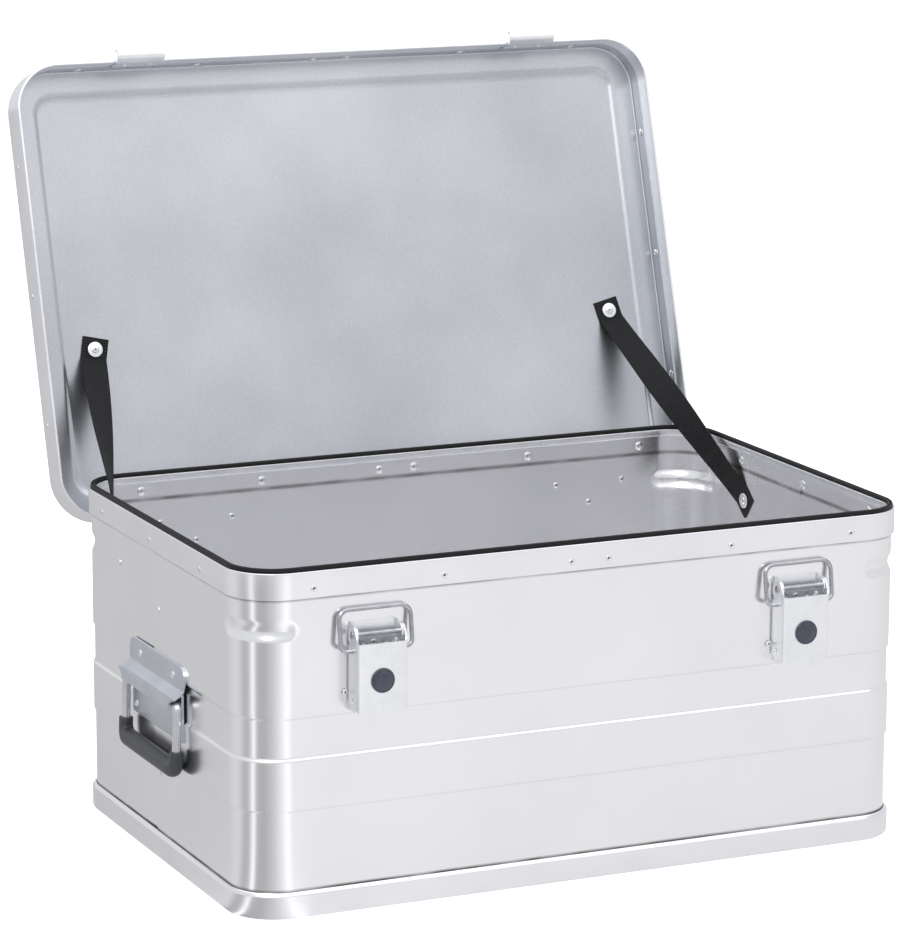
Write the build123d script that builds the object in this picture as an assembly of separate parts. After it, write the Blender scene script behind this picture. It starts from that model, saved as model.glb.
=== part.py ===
"""Aluminium top case with a hinged lid, two toggle latches, two drop handles and two check straps.

Millimetres. +Z is up, the latches face -Y, the hinges are on +Y, and the origin is the centre of
the flat underside. Every piece is modelled in its rest place, which has the lid open on its straps.
"""
from build123d import *
import os
from math import atan2, cos, degrees, radians, sin

# ---- overall sizes
case_length = 571.0        # over the rim, left to right
case_depth = 370.5         # over the rim, front to back
case_height = 268.0        # floor to the top of the rim
corner_radius = 40.0       # outer corners of rim and base, seen from above
lid_overhang = 5.5         # how far the lid stands outside the rim all round
lid_height = 29.4          # height of the lid's frame
lid_corner_radius = 39.0
open_angle = 107.3         # lid angle at which the straps are tight

# ---- sheet metal of the body
sheet = 1.0                # body and lid sheet thickness
rim_flange = 2.1           # rim flange outside the body wall
step_depth = 1.4           # inward step of the wall's recessed bands
step_height = 1.2          # height of a plain step
lower_step_z = 83.8        # wall is recessed below this height
ledge_z = 121.9            # proud band ends here with a sloped ledge
ledge_height = 3.0
upper_step_z = 154.5       # wall is proud above this height
bead_drop = 44.5           # corner beads
bead_height = 17.0
bead_depth = 2.5
lap = 10.0                 # half width of the lapped side seams
lap_gap = 0.2              # gap at the outer sheet's edge

# ---- base
floor_sheet = 1.5
base_height = 20.4
base_foot = 12.0           # width of the base profile's foot above the floor sheet
base_foot_thickness = 2.0

# ---- rim and seal
rim_height = 20.6
head_height = 5.5          # solid head of the rim profile
head_width = 6.5
seal_inset = 1.5
seal_width = 4.0
seal_groove = 1.5
seal_height = 3.2          # rubber standing above the rim

# ---- lid
frame_thickness = 2.0
frame_lip = 5.0            # width of the frame's lip over the panel's edge
flange_height = 14.4       # panel flange inside the frame
seal_gap = 0.3             # closed lid to uncompressed seal
panel_raise = 2.0          # raised centre of the panel
panel_border = 20.0        # from the flange to the raised centre

# ---- rivets
shank_radius = 1.6
head_radius = 3.3
rivet_head = 1.1
tail_radius = 2.5
rivet_tail = 1.0
blind_head_radius = 3.6    # rim and lid rivets have their heads inside
blind_tail = 0.5
rim_rivet_drop = 13.3      # rim rivets below the rim's top
lid_rivet_drop = 10.1      # lid rivets below the lid's top
rivet_columns = (15.8, 122.5, 229.0)
side_rivet_pitch = 108.0
rim_rivet_shift = 13.2     # side rivets of the rim are off centre, left and right opposite ways
seam_rivet_low = 70.0
seam_rivet_high_drop = 67.0

# ---- hinges
hinge_x = 181.0
hinge_pin_radius = 2.0
hinge_clearance = 0.05
knuckle_radius = 3.4
knuckle_to_wall = 0.55     # gap between the knuckles and the wall
hinge_drop = 31.6          # hinge axis
leaf = 1.5
hinge_half_width = 42.0
lid_knuckle_half = 13.6
knuckle_gap = 0.3
leaf_half_width = 32.0
body_leaf_foot_drop = 67.0
hinge_rivet_x = 31.5
hinge_rivet_drop = 41.2
hinge_low_rivet_drop = 58.5

# ---- latches
latch_x = 180.7
plate_thickness = 1.5
plate_half_width = 26.5
plate_bottom_drop = 110.5
plate_top_drop = 42.0
ear_inside = 17.6
lever_gap = 0.2            # between the ears and the lever's sides
lever_sheet = 1.2
lever_front = 19.2         # front face of the lever, from the wall
lever_back = 2.6           # back edge of the lever's sides, from the wall
lever_top_drop = 56.0      # top of the lever's front plate
lever_bottom_drop = 108.0
lever_tip_drop = 112.8
lever_tip_half = 9.5
lever_eye_radius = 8.3
latch_pin_out = 8.3
latch_pin_drop = 50.6
latch_pin_radius = 1.9
latch_pin_clearance = 0.05
bail_pivot_drop = 63.0
bail_pivot_out = 8.2
latch_wire = 1.75          # wire radius
wire_clearance = 0.05
bail_half_width = 29.2     # to the wire's centre
bail_top_drop = 32.0
bail_top_out = 3.2
bail_corner = 8.0
lever_hole_radius = 3.0
lever_hole_drop = 100.3
plug_drop = 84.8
plug_radius = 9.6
plug_hole_radius = 8.2
dimple_radius = 2.6
dimple_pitch = 9.2
dimple_drop = 59.2
plate_rivet_x = 23.0
plate_rivet_drop = 96.0

# ---- strikers
striker_half_width = 21.0
striker_plate = 1.5
striker_reach = 8.2        # how far the hook stands outside the lid
striker_drop = 7.8         # how far the hook reaches below the lid
striker_rise = 13.0
striker_rivet_x = 11.5
striker_rivet_rise = 7.0

# ---- handles
bracket_thickness = 2.0
bracket_top = 168.3
bracket_bottom = 107.5
bracket_upper_half = 60.0
bracket_lower_half = 54.0
bracket_corner = 10.0
ledge_root_z = 149.0       # hooked ledge where it leaves the plate
ledge_lip_z = 143.7
ledge_out = 12.5
ledge_half = 58.8
lip_half = 51.4            # the lip is cut back at each end so the wire can swing out
lip_cut_z = 139.0
lip_bottom = 134.5
bracket_rivet_y = 36.0
bracket_rivet_z = 158.0
bracket_low_rivet_y = 45.0
bracket_low_rivet_z = 115.0
handle_tail_radius = 2.1
handle_wire = 3.5
handle_pivot_out = 6.2
handle_pivot_z = 138.6
handle_leg_y = 56.0
handle_drop = 51.4         # pivot to the middle of the grip
handle_top_corner = 5.0
handle_low_corner = 9.0
grip_radius = 7.2
grip_sleeve_radius = 5.6
grip_sleeve_top = 15.0     # sleeve above the middle of the grip
grip_gap = 0.6             # grip to wall

# ---- straps
strap_width = 22.5
strap_thickness = 1.6
strap_gap = 0.3
lower_anchor_y = 86.4
lower_anchor_drop = 47.0
upper_anchor_x = 239.0
upper_anchor_y = 46.7
strap_end = 10.0           # webbing beyond the rivet
strap_steps = 8            # straight pieces in the twisted run
washer_radius = 6.5
washer_thickness = 1.0

# ---- worked out from the sizes above
half_x = case_length / 2
half_y = case_depth / 2
wall_x = half_x - rim_flange                     # outside of the proud wall
wall_y = half_y - rim_flange
wall_radius = corner_radius - rim_flange
foot_top = floor_sheet + base_foot_thickness
head_bottom = case_height - head_height
rim_bottom = case_height - rim_height
# heights measured down from the top of the rim
bead_z = case_height - bead_drop
seam_rivet_high = case_height - seam_rivet_high_drop
hinge_z = case_height - hinge_drop
body_leaf_foot = case_height - body_leaf_foot_drop
hinge_rivet_z = case_height - hinge_rivet_drop
hinge_low_rivet_z = case_height - hinge_low_rivet_drop
plate_bottom = case_height - plate_bottom_drop
plate_top = case_height - plate_top_drop
lever_top = case_height - lever_top_drop
lever_bottom = case_height - lever_bottom_drop
lever_tip = case_height - lever_tip_drop
latch_pin_z = case_height - latch_pin_drop
bail_pivot_z = case_height - bail_pivot_drop
bail_top_z = case_height - bail_top_drop
lever_hole_z = case_height - lever_hole_drop
plug_z = case_height - plug_drop
dimple_z = case_height - dimple_drop
plate_rivet_z = case_height - plate_rivet_drop
lower_anchor_z = case_height - lower_anchor_drop
# the seal, the closed lid and what lines up with the walls
seal_top = case_height + seal_height
lid_x = half_x + lid_overhang
lid_y = half_y + lid_overhang
border_inside = seal_top + seal_gap              # underside of the panel's border, lid closed
border_top = border_inside + sheet
lid_top = border_top + sheet                     # the frame's lip covers the border
lid_bottom = lid_top - lid_height
flange_bottom = border_top - flange_height
panel_inside = border_inside + panel_raise
hinge_y = wall_y + knuckle_to_wall + knuckle_radius
lever_inside = ear_inside + plate_thickness + lever_gap
lever_half = lever_inside + lever_sheet
hinge_line = Axis((0, hinge_y, hinge_z), (1, 0, 0))
sides = (("left", -1), ("right", 1))

os.makedirs("parts", exist_ok=True)


def rounded_path(across, along, radius):
    """Closed rounded rectangle, anticlockwise from the middle of the +X side."""
    x = across - radius
    y = along - radius
    lines = [Line((across, 0), (across, y)), CenterArc((x, y), radius, 0, 90)]
    lines += [Line((x, along), (-x, along)), CenterArc((-x, y), radius, 90, 90)]
    lines += [Line((-across, y), (-across, -y)), CenterArc((-x, -y), radius, 180, 90)]
    lines += [Line((-x, -along), (x, -along)), CenterArc((x, -y), radius, 270, 90)]
    lines += [Line((across, -y), (across, 0))]
    return Wire(lines)


def ring(outline, across, along, radius):
    """Sweep an outline of (inward, height) points round a rounded rectangle."""
    section = make_face(Polyline([(across - inward, 0, z) for inward, z in outline], close=True))
    return sweep(section, path=rounded_path(across, along, radius))


def slab(across, along, radius, low, high):
    """Rounded rectangular plate between two heights."""
    return Pos(0, 0, low) * extrude(RectangleRounded(2 * across, 2 * along, radius), high - low)


def block(x, y, z):
    """Box between pairs of limits."""
    size = (x[1] - x[0], y[1] - y[0], z[1] - z[0])
    centre = ((x[0] + x[1]) / 2, (y[0] + y[1]) / 2, (z[0] + z[1]) / 2)
    return Pos(*centre) * Box(*size)


def rod(start, end, radius):
    """Round bar between two points."""
    axis = Vector(end) - Vector(start)
    return extrude(Plane(origin=start, z_dir=axis) * Circle(radius), axis.length)


def rivet(point, outward, grip, head=head_radius, tail=tail_radius, beyond=rivet_tail):
    """Rivet with its domed head on the surface at point and its tail beyond the grip."""
    crown = (head * head + rivet_head * rivet_head) / (2 * rivet_head)
    dome = revolve(
        make_face(
            [
                Line((0, 0), (head, 0)),
                RadiusArc((head, 0), (0, rivet_head), -crown),
                Line((0, rivet_head), (0, 0)),
            ]
        ),
        Axis.Y,
    )
    shank = Rot(-90, 0, 0) * Pos(0, 0, -grip / 2) * Cylinder(shank_radius, grip)
    foot = Rot(-90, 0, 0) * Pos(0, 0, -grip - beyond / 2) * Cylinder(tail, beyond)
    upright = Rot(90, 0, 0) * (dome + shank + foot)
    return Plane(origin=point, z_dir=outward) * upright


def blind_rivet(point, outward, grip):
    """Rivet set from inside: its head is past the grip and its set end is at point."""
    inside = Vector(*point) - Vector(*outward) * grip
    return rivet(inside, -Vector(*outward), grip, blind_head_radius, tail_radius, blind_tail)


def shank_hole(point, outward, grip, radius=shank_radius):
    """The hole that a rivet's shank fills."""
    start = Vector(*point) + Vector(*outward)
    return rod(start, start - Vector(*outward) * (grip + 2), radius)


def save(name, shapes):
    """Write one node; a list becomes a group of separate solids."""
    solids = [solid for shape in shapes for solid in shape.solids()]
    node = solids[0] if len(solids) == 1 else Compound(children=solids)
    export_step(node, f"parts/{name}.step")


def opened(shape):
    """Turn a piece of the lid from its closed place to its rest place."""
    return shape.rotate(hinge_line, -open_angle)


def opened_point(point):
    """The same turn for one point."""
    y = point[1] - hinge_y
    z = point[2] - hinge_z
    turn = radians(-open_angle)
    turned_y = y * cos(turn) - z * sin(turn)
    turned_z = y * sin(turn) + z * cos(turn)
    return Vector(point[0], hinge_y + turned_y, hinge_z + turned_z)


# ---- where the rivets go: (point on the outer surface, outward direction)
def face_rivets(column_x, row_y, outer_x, outer_y, height):
    """Rivets along the two long faces and down the two short faces."""
    places = []
    for x in column_x:
        for side in (-1, 1):
            places.append(((side * x, -outer_y, height), (0, -1, 0)))
            places.append(((side * x, outer_y, height), (0, 1, 0)))
    for name, side in sides:
        for y in row_y[name]:
            places.append(((side * outer_x, y, height), (side, 0, 0)))
    return places


rim_rows = {
    name: [step * side_rivet_pitch - side * rim_rivet_shift for step in (-1, 0, 1)] for name, side in sides
}
lid_rows = {name: [step * side_rivet_pitch for step in (-1, 0, 1)] for name, side in sides}
rim_rivet_places = face_rivets(rivet_columns, rim_rows, half_x, half_y, case_height - rim_rivet_drop)
lid_rivet_places = face_rivets(rivet_columns, lid_rows, lid_x, lid_y, lid_top - lid_rivet_drop)
seam_places = [
    ((side * (wall_x - inset), 0, height), (side, 0, 0))
    for name, side in sides
    for inset, height in ((step_depth, seam_rivet_low), (0, seam_rivet_high))
]
hinge_body_places = [
    ((side * hinge_x + shift, wall_y + leaf, height), (0, 1, 0))
    for name, side in sides
    for shift, height in (
        (-hinge_rivet_x, hinge_rivet_z),
        (hinge_rivet_x, hinge_rivet_z),
        (0, hinge_low_rivet_z),
    )
]
hinge_lid_places = [
    ((side * hinge_x + shift, lid_y + leaf, lid_top - lid_rivet_drop), (0, 1, 0))
    for name, side in sides
    for shift in (-leaf_half_width + 8, 0, leaf_half_width - 8)
]
latch_places = [
    ((side * latch_x + shift, -wall_y - plate_thickness, height), (0, -1, 0))
    for name, side in sides
    for shift, height in ((-plate_rivet_x, plate_rivet_z), (plate_rivet_x, plate_rivet_z), (0, dimple_z))
]
striker_face_y = frame_thickness + striker_plate - lid_y
striker_places = [
    ((side * latch_x + shift, striker_face_y, lid_bottom + striker_rivet_rise), (0, 1, 0))
    for name, side in sides
    for shift in (-striker_rivet_x, striker_rivet_x)
]
handle_places = [
    ((side * (wall_x + bracket_thickness), shift, height), (side, 0, 0))
    for name, side in sides
    for shift, height in (
        (-bracket_rivet_y, bracket_rivet_z),
        (bracket_rivet_y, bracket_rivet_z),
        (-bracket_low_rivet_y, bracket_low_rivet_z),
        (bracket_low_rivet_y, bracket_low_rivet_z),
    )
]
strap_layers = strap_thickness + washer_thickness
loose_layers = strap_layers + 2 * strap_gap      # the webbing hangs loose on the upper rivet
lower_strap_places = [
    ((side * (wall_x - sheet - strap_layers), lower_anchor_y, lower_anchor_z), (-side, 0, 0))
    for name, side in sides
]
upper_strap_places = [
    ((side * upper_anchor_x, upper_anchor_y, panel_inside - loose_layers), (0, 0, -1))
    for name, side in sides
]

body_grip = plate_thickness + sheet
strap_grip = strap_layers + sheet
loose_grip = loose_layers + sheet
seam_grip = 2 * sheet
bracket_grip = bracket_thickness + sheet
frame_grip = frame_thickness + sheet
rim_grip = rim_flange + sheet
striker_grip = frame_thickness + striker_plate
leaf_grip = leaf + frame_thickness + sheet


# ---- body shell
def wall_outline(inward):
    """Closed outline of the sheet, its outer side moved inward."""
    recess = inward + step_depth
    outside = [
        (recess, foot_top),
        (recess, lower_step_z - step_height),
        (inward, lower_step_z),
        (inward, ledge_z),
        (recess, ledge_z + ledge_height),
        (recess, upper_step_z),
        (inward, upper_step_z + step_height),
        (inward, head_bottom),
    ]
    return outside + [(x + sheet, z) for x, z in reversed(outside)]


def corner_bead(radius):
    """Quarter ring of round section in each corner, its middle outside the wall."""
    bead_centre = wall_radius - bead_depth + bead_outer
    quarter = Pos(0, 0, bead_z) * revolve(
        Plane.XZ * Pos(bead_centre, 0) * Circle(radius), Axis.Z, revolution_arc=90
    )
    beads = Part()
    for turn, x_side, y_side in ((0, 1, 1), (90, -1, 1), (180, -1, -1), (270, 1, -1)):
        place = Pos(x_side * (wall_x - wall_radius), y_side * (wall_y - wall_radius), 0)
        beads += place * Rot(0, 0, turn) * quarter
    return beads


bead_outer = ((bead_height / 2) ** 2 + bead_depth**2) / (2 * bead_depth)
plain_wall = ring(wall_outline(rim_flange), half_x, half_y, corner_radius)
lap_wall = ring(wall_outline(rim_flange + sheet), half_x, half_y, corner_radius)
half_sheet = sheet / 2
middle = (wall_x - half_sheet, wall_y - half_sheet, wall_radius - half_sheet)
bead_zone = slab(*middle, bead_z - bead_height, bead_z + bead_height)
bulge = corner_bead(bead_outer + sheet) & bead_zone
wall = plain_wall + bulge - corner_bead(bead_outer)

holes = [shank_hole(*place, rim_grip) for place in rim_rivet_places]
holes += [shank_hole(*place, seam_grip) for place in seam_places]
holes += [shank_hole(*place, body_grip) for place in hinge_body_places + latch_places]
holes += [shank_hole(*place, bracket_grip) for place in handle_places]
holes += [shank_hole(*place, strap_grip) for place in lower_strap_places]

far = case_length
front_zone = block((-far, far), (-far, lap), (-1, far))
back_zone = block((-far, far), (lap + lap_gap, far), (-1, far))
tab_zone = block((-far, far), (-lap, lap + 2 * sheet), (-1, rim_bottom))
save("body_shell_front", [(wall & front_zone) - holes])
save("body_shell_back", [(wall & back_zone) + (lap_wall & tab_zone) - holes])

# ---- base
floor_x = half_x - rim_flange - step_depth
floor_y = half_y - rim_flange - step_depth
floor_radius = corner_radius - rim_flange - step_depth
save("bottom_panel", [slab(floor_x, floor_y, floor_radius, 0, floor_sheet)])
leg = rim_flange + step_depth
base_outline = [
    (1.2, 0),
    (leg, 0),
    (leg, floor_sheet),
    (leg + base_foot, floor_sheet),
    (leg + base_foot, foot_top),
    (leg, foot_top),
    (leg, base_height - 1.0),
    (leg - 1.0, base_height),
    (1.6, base_height),
    (0.4, base_height - 1.2),
    (0, base_height - 3.2),
    (0, 2.4),
]
save("base_profile", [ring(base_outline, half_x, half_y, corner_radius)])

# ---- rim
groove_bottom = case_height - seal_groove
rim_outline = [
    (0, rim_bottom),
    (rim_flange, rim_bottom),
    (rim_flange, head_bottom),
    (head_width, head_bottom),
    (head_width, case_height - 0.6),
    (head_width - 0.6, case_height),
    (seal_inset + seal_width, case_height),
    (seal_inset + seal_width, groove_bottom),
    (seal_inset, groove_bottom),
    (seal_inset, case_height),
    (0.6, case_height),
    (0, case_height - 0.6),
]
rim = ring(rim_outline, half_x, half_y, corner_radius)
rim -= [shank_hole(*place, rim_grip) for place in rim_rivet_places]
save("rim_profile", [rim])
seal_outline = [
    (seal_inset, groove_bottom),
    (seal_inset + seal_width, groove_bottom),
    (seal_inset + seal_width, seal_top - 1.0),
    (seal_inset + seal_width - 0.8, seal_top),
    (seal_inset + 0.8, seal_top),
    (seal_inset, seal_top - 1.0),
]
save("rim_seal", [ring(seal_outline, half_x, half_y, corner_radius)])
save("rim_rivets", [blind_rivet(*place, rim_grip) for place in rim_rivet_places])
save("seam_rivets", [rivet(*place, seam_grip) for place in seam_places])

# ---- lid
flange_x = lid_x - frame_thickness
flange_y = lid_y - frame_thickness
flange_radius = lid_corner_radius - frame_thickness
raised = panel_border + sheet
frame_outline = [
    (0, lid_bottom),
    (frame_thickness, lid_bottom),
    (frame_thickness, border_top),
    (frame_lip, border_top),
    (frame_lip, lid_top),
    (1.0, lid_top),
    (0, lid_top - 1.0),
]
frame = ring(frame_outline, lid_x, lid_y, lid_corner_radius)
panel = slab(flange_x, flange_y, flange_radius, flange_bottom, border_top)
panel -= slab(flange_x - sheet, flange_y - sheet, flange_radius - sheet, flange_bottom - 1, border_inside)
centre_x = flange_x - raised
centre_y = flange_y - raised
centre_radius = flange_radius - raised
panel += slab(centre_x, centre_y, centre_radius, border_top, border_top + panel_raise)
panel -= slab(centre_x - sheet, centre_y - sheet, centre_radius - sheet, border_inside - 1, panel_inside)

lid_holes = [shank_hole(*place, frame_grip) for place in lid_rivet_places]
lid_holes += [shank_hole(*place, leaf_grip) for place in hinge_lid_places]
lid_holes += [shank_hole(*place, striker_grip) for place in striker_places]
lid_holes += [shank_hole(*place, loose_grip) for place in upper_strap_places]
save("lid_frame", [opened(frame - lid_holes)])
save("lid_panel", [opened(panel - lid_holes)])
save("lid_rivets", [opened(blind_rivet(*place, frame_grip)) for place in lid_rivet_places])


# ---- hinges
def body_leaf(x):
    """Plate on the back wall with a knuckle at each end of its top edge."""
    plate = make_face(
        Polyline(
            [
                (x - hinge_half_width, hinge_z),
                (x - hinge_half_width, hinge_rivet_z - 8),
                (x - 12, body_leaf_foot),
                (x + 12, body_leaf_foot),
                (x + hinge_half_width, hinge_rivet_z - 8),
                (x + hinge_half_width, hinge_z),
            ],
            close=True,
        )
    )
    shape = extrude(Plane(origin=(0, wall_y, 0), x_dir=(1, 0, 0), z_dir=(0, -1, 0)) * plate, -leaf)
    space = lid_knuckle_half + knuckle_gap
    shape -= block((x - space, x + space), (wall_y - 1, hinge_y), (hinge_z - knuckle_radius - 1, far))
    for low, high in ((x - hinge_half_width, x - space), (x + space, x + hinge_half_width)):
        shape += rod((low, hinge_y, hinge_z), (high, hinge_y, hinge_z), knuckle_radius)
    return shape - rod((x - far, hinge_y, hinge_z), (x + far, hinge_y, hinge_z), hinge_pin_radius)


def lid_leaf(x):
    """Plate on the lid's back face, joggled down to the middle knuckle."""
    tail_y = hinge_y + knuckle_radius - leaf
    outline = [
        (tail_y, hinge_z),
        (tail_y + leaf, hinge_z),
        (tail_y + leaf, hinge_z + 4.0),
        (lid_y + leaf, lid_bottom + 0.4),
        (lid_y + leaf, lid_top - 4.0),
        (lid_y, lid_top - 4.0),
        (lid_y, lid_bottom),
        (tail_y, hinge_z + 4.6),
    ]
    profile = make_face(Polyline([(x, y, z) for y, z in outline], close=True))
    strip = extrude(profile, lid_knuckle_half, both=True, dir=(1, 0, 0))
    top = block(
        (x - leaf_half_width, x + leaf_half_width),
        (lid_y, lid_y + leaf),
        (lid_bottom + 2, lid_top - 4),
    )
    ends = ((x - lid_knuckle_half, hinge_y, hinge_z), (x + lid_knuckle_half, hinge_y, hinge_z))
    shape = strip + top + rod(*ends, knuckle_radius)
    bore = hinge_pin_radius + hinge_clearance
    return shape - rod((x - far, hinge_y, hinge_z), (x + far, hinge_y, hinge_z), bore)


for name, side in sides:
    x = side * hinge_x
    body_holes = [shank_hole(*place, body_grip) for place in hinge_body_places]
    save(f"hinge_leaf_body_{name}", [body_leaf(x) - body_holes])
    save(f"hinge_leaf_lid_{name}", [opened(lid_leaf(x) - lid_holes)])
    pin_ends = ((x - hinge_half_width, hinge_y, hinge_z), (x + hinge_half_width, hinge_y, hinge_z))
    save(f"hinge_pin_{name}", [rod(*pin_ends, hinge_pin_radius)])
save("hinge_body_rivets", [rivet(*place, body_grip) for place in hinge_body_places])
save("hinge_lid_rivets", [opened(rivet(*place, leaf_grip)) for place in hinge_lid_places])


# ---- latches: out is the distance from the front wall
def at_front(x, out, z):
    """Point in front of the front wall."""
    return (x, -wall_y - out, z)


def side_plate(x, outline, thickness):
    """Plate across X from x, outlined by (out, z) points."""
    face = make_face(Polyline([at_front(x, out, z) for out, z in outline], close=True))
    return extrude(face, amount=thickness, dir=(1, 0, 0))


def latch_base(x):
    """Plate with two ears for the pin, a row of round holes and relief notches."""
    plate = block(
        (x - plate_half_width, x + plate_half_width),
        (-wall_y - plate_thickness, -wall_y),
        (plate_bottom, plate_top),
    )
    ear_outline = [
        (0, latch_pin_z - 8),
        (latch_pin_out, latch_pin_z - 6.5),
        (latch_pin_out, plate_top),
        (0, plate_top),
    ]
    shape = plate
    for edge in (x - ear_inside - plate_thickness, x + ear_inside):
        shape += side_plate(edge, ear_outline, plate_thickness)
        shape += rod(
            at_front(edge, latch_pin_out, latch_pin_z),
            at_front(edge + plate_thickness, latch_pin_out, latch_pin_z),
            6.5,
        )
    pin_line = (at_front(x - far, latch_pin_out, latch_pin_z), at_front(x + far, latch_pin_out, latch_pin_z))
    shape -= rod(*pin_line, latch_pin_radius)
    for step in (-2, -1, 1, 2):
        place = x + step * dimple_pitch
        shape -= rod(at_front(place, -1, dimple_z), at_front(place, 3, dimple_z), dimple_radius)
    return shape


def latch_lever(x):
    """Folded lever: front plate with a tapered tip, and two sides that end in round eyes."""
    front = make_face(
        Polyline(
            [
                (x - lever_half, lever_top),
                (x - lever_half, lever_bottom),
                (x - lever_tip_half, lever_tip),
                (x + lever_tip_half, lever_tip),
                (x + lever_half, lever_bottom),
                (x + lever_half, lever_top),
            ],
            close=True,
        )
    )
    front_plane = Plane(origin=(0, -wall_y - lever_front, 0), x_dir=(1, 0, 0), z_dir=(0, -1, 0))
    shape = extrude(front_plane * front, -lever_sheet)
    side_outline = [
        (lever_back, lever_bottom + 1.5),
        (lever_front - 3, lever_bottom),
        (lever_front, lever_bottom),
        (lever_front, lever_top),
        (latch_pin_out + lever_eye_radius * 0.8, latch_pin_z + lever_eye_radius * 0.6),
        (latch_pin_out, latch_pin_z),
        (lever_back, latch_pin_z - 6),
    ]
    for edge in (x - lever_half, x + lever_inside):
        shape += side_plate(edge, side_outline, lever_sheet)
        shape += rod(
            at_front(edge, latch_pin_out, latch_pin_z),
            at_front(edge + lever_sheet, latch_pin_out, latch_pin_z),
            lever_eye_radius - 1.5,
        )
    for out, z, radius in (
        (latch_pin_out, latch_pin_z, latch_pin_radius + latch_pin_clearance),
        (bail_pivot_out, bail_pivot_z, latch_wire + wire_clearance),
        (latch_pin_out, lever_hole_z, lever_hole_radius),
    ):
        shape -= rod(at_front(x - far, out, z), at_front(x + far, out, z), radius)
    return shape - rod(at_front(x, 0, plug_z), at_front(x, far, plug_z), plug_hole_radius)


def latch_plug(x):
    """Domed blanking plug in the lever's lock hole."""
    rise = 3.0
    crown = (plug_radius**2 + rise**2) / (2 * rise)
    dome = revolve(
        make_face(
            [
                Line((0, 0), (plug_radius, 0)),
                RadiusArc((plug_radius, 0), (0, rise), -crown),
                Line((0, rise), (0, 0)),
            ]
        ),
        Axis.Y,
    )
    stem = Rot(-90, 0, 0) * Pos(0, 0, -2.5) * Cylinder(plug_hole_radius, 5)
    upright = Rot(90, 0, 0) * (dome + stem)
    return Plane(origin=at_front(x, lever_front, plug_z), z_dir=(0, -1, 0)) * upright


def latch_bail(x):
    """Wire loop with its two ends turned into the lever's sides."""
    inner_end = lever_inside - 1.0
    points = []
    for side in (-1, 1):
        limb = [
            at_front(x + side * inner_end, bail_pivot_out, bail_pivot_z),
            at_front(x + side * bail_half_width, bail_pivot_out, bail_pivot_z),
            at_front(x + side * bail_half_width, bail_top_out, bail_top_z),
        ]
        points += limb if side == -1 else limb[::-1]
    route = FilletPolyline(*points, radius=[5.0, bail_corner, bail_corner, 5.0])
    return sweep(Plane(origin=route @ 0, z_dir=route % 0) * Circle(latch_wire), path=route)


for name, side in sides:
    x = side * latch_x
    plate_holes = [shank_hole(*place, body_grip) for place in latch_places]
    save(f"latch_base_{name}", [latch_base(x) - plate_holes])
    save(f"latch_lever_{name}", [latch_lever(x)])
    save(f"latch_plug_{name}", [latch_plug(x)])
    save(f"latch_bail_{name}", [latch_bail(x)])
    pin_half = lever_half + 0.6
    pin = rod(
        at_front(x - pin_half, latch_pin_out, latch_pin_z),
        at_front(x + pin_half, latch_pin_out, latch_pin_z),
        latch_pin_radius,
    )
    for tip in (-1, 1):
        pin += rod(
            at_front(x + tip * (lever_half + 0.1), latch_pin_out, latch_pin_z),
            at_front(x + tip * (pin_half + 0.2), latch_pin_out, latch_pin_z),
            latch_pin_radius + 1.0,
        )
    save(f"latch_pin_{name}", [pin])
save("latch_base_rivets", [rivet(*place, body_grip, head=2.4) for place in latch_places])


# ---- strikers on the lid's front face
def striker(x):
    """Plate inside the lid's frame that curls outward below it into a hook."""
    inside_y = -lid_y + frame_thickness + striker_plate / 2
    hook_y = -lid_y - striker_reach + striker_plate / 2
    hook_z = lid_bottom - striker_drop + striker_plate / 2
    route = FilletPolyline(
        (inside_y, lid_bottom + striker_rise),
        (inside_y, lid_bottom - 1.5),
        (inside_y - 4.0, hook_z),
        (hook_y, hook_z),
        (hook_y, hook_z + 6.0),
        radius=[2.5, 2.5, 2.5],
    )
    hook = Plane(origin=(x, 0, 0), x_dir=(0, 1, 0), z_dir=(1, 0, 0)) * trace(route, striker_plate)
    shape = extrude(hook, striker_half_width, both=True)
    return shape


for name, side in sides:
    save(f"striker_{name}", [opened(striker(side * latch_x) - lid_holes)])
striker_rivet_list = [rivet(*place, striker_grip, head=2.8) for place in striker_places]
save("striker_rivets", [opened(part) for part in striker_rivet_list])


# ---- handles: out is the distance from the side wall
def at_side(side, out, y, z):
    """Point beside a short wall."""
    return (side * (wall_x + out), y, z)


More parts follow.
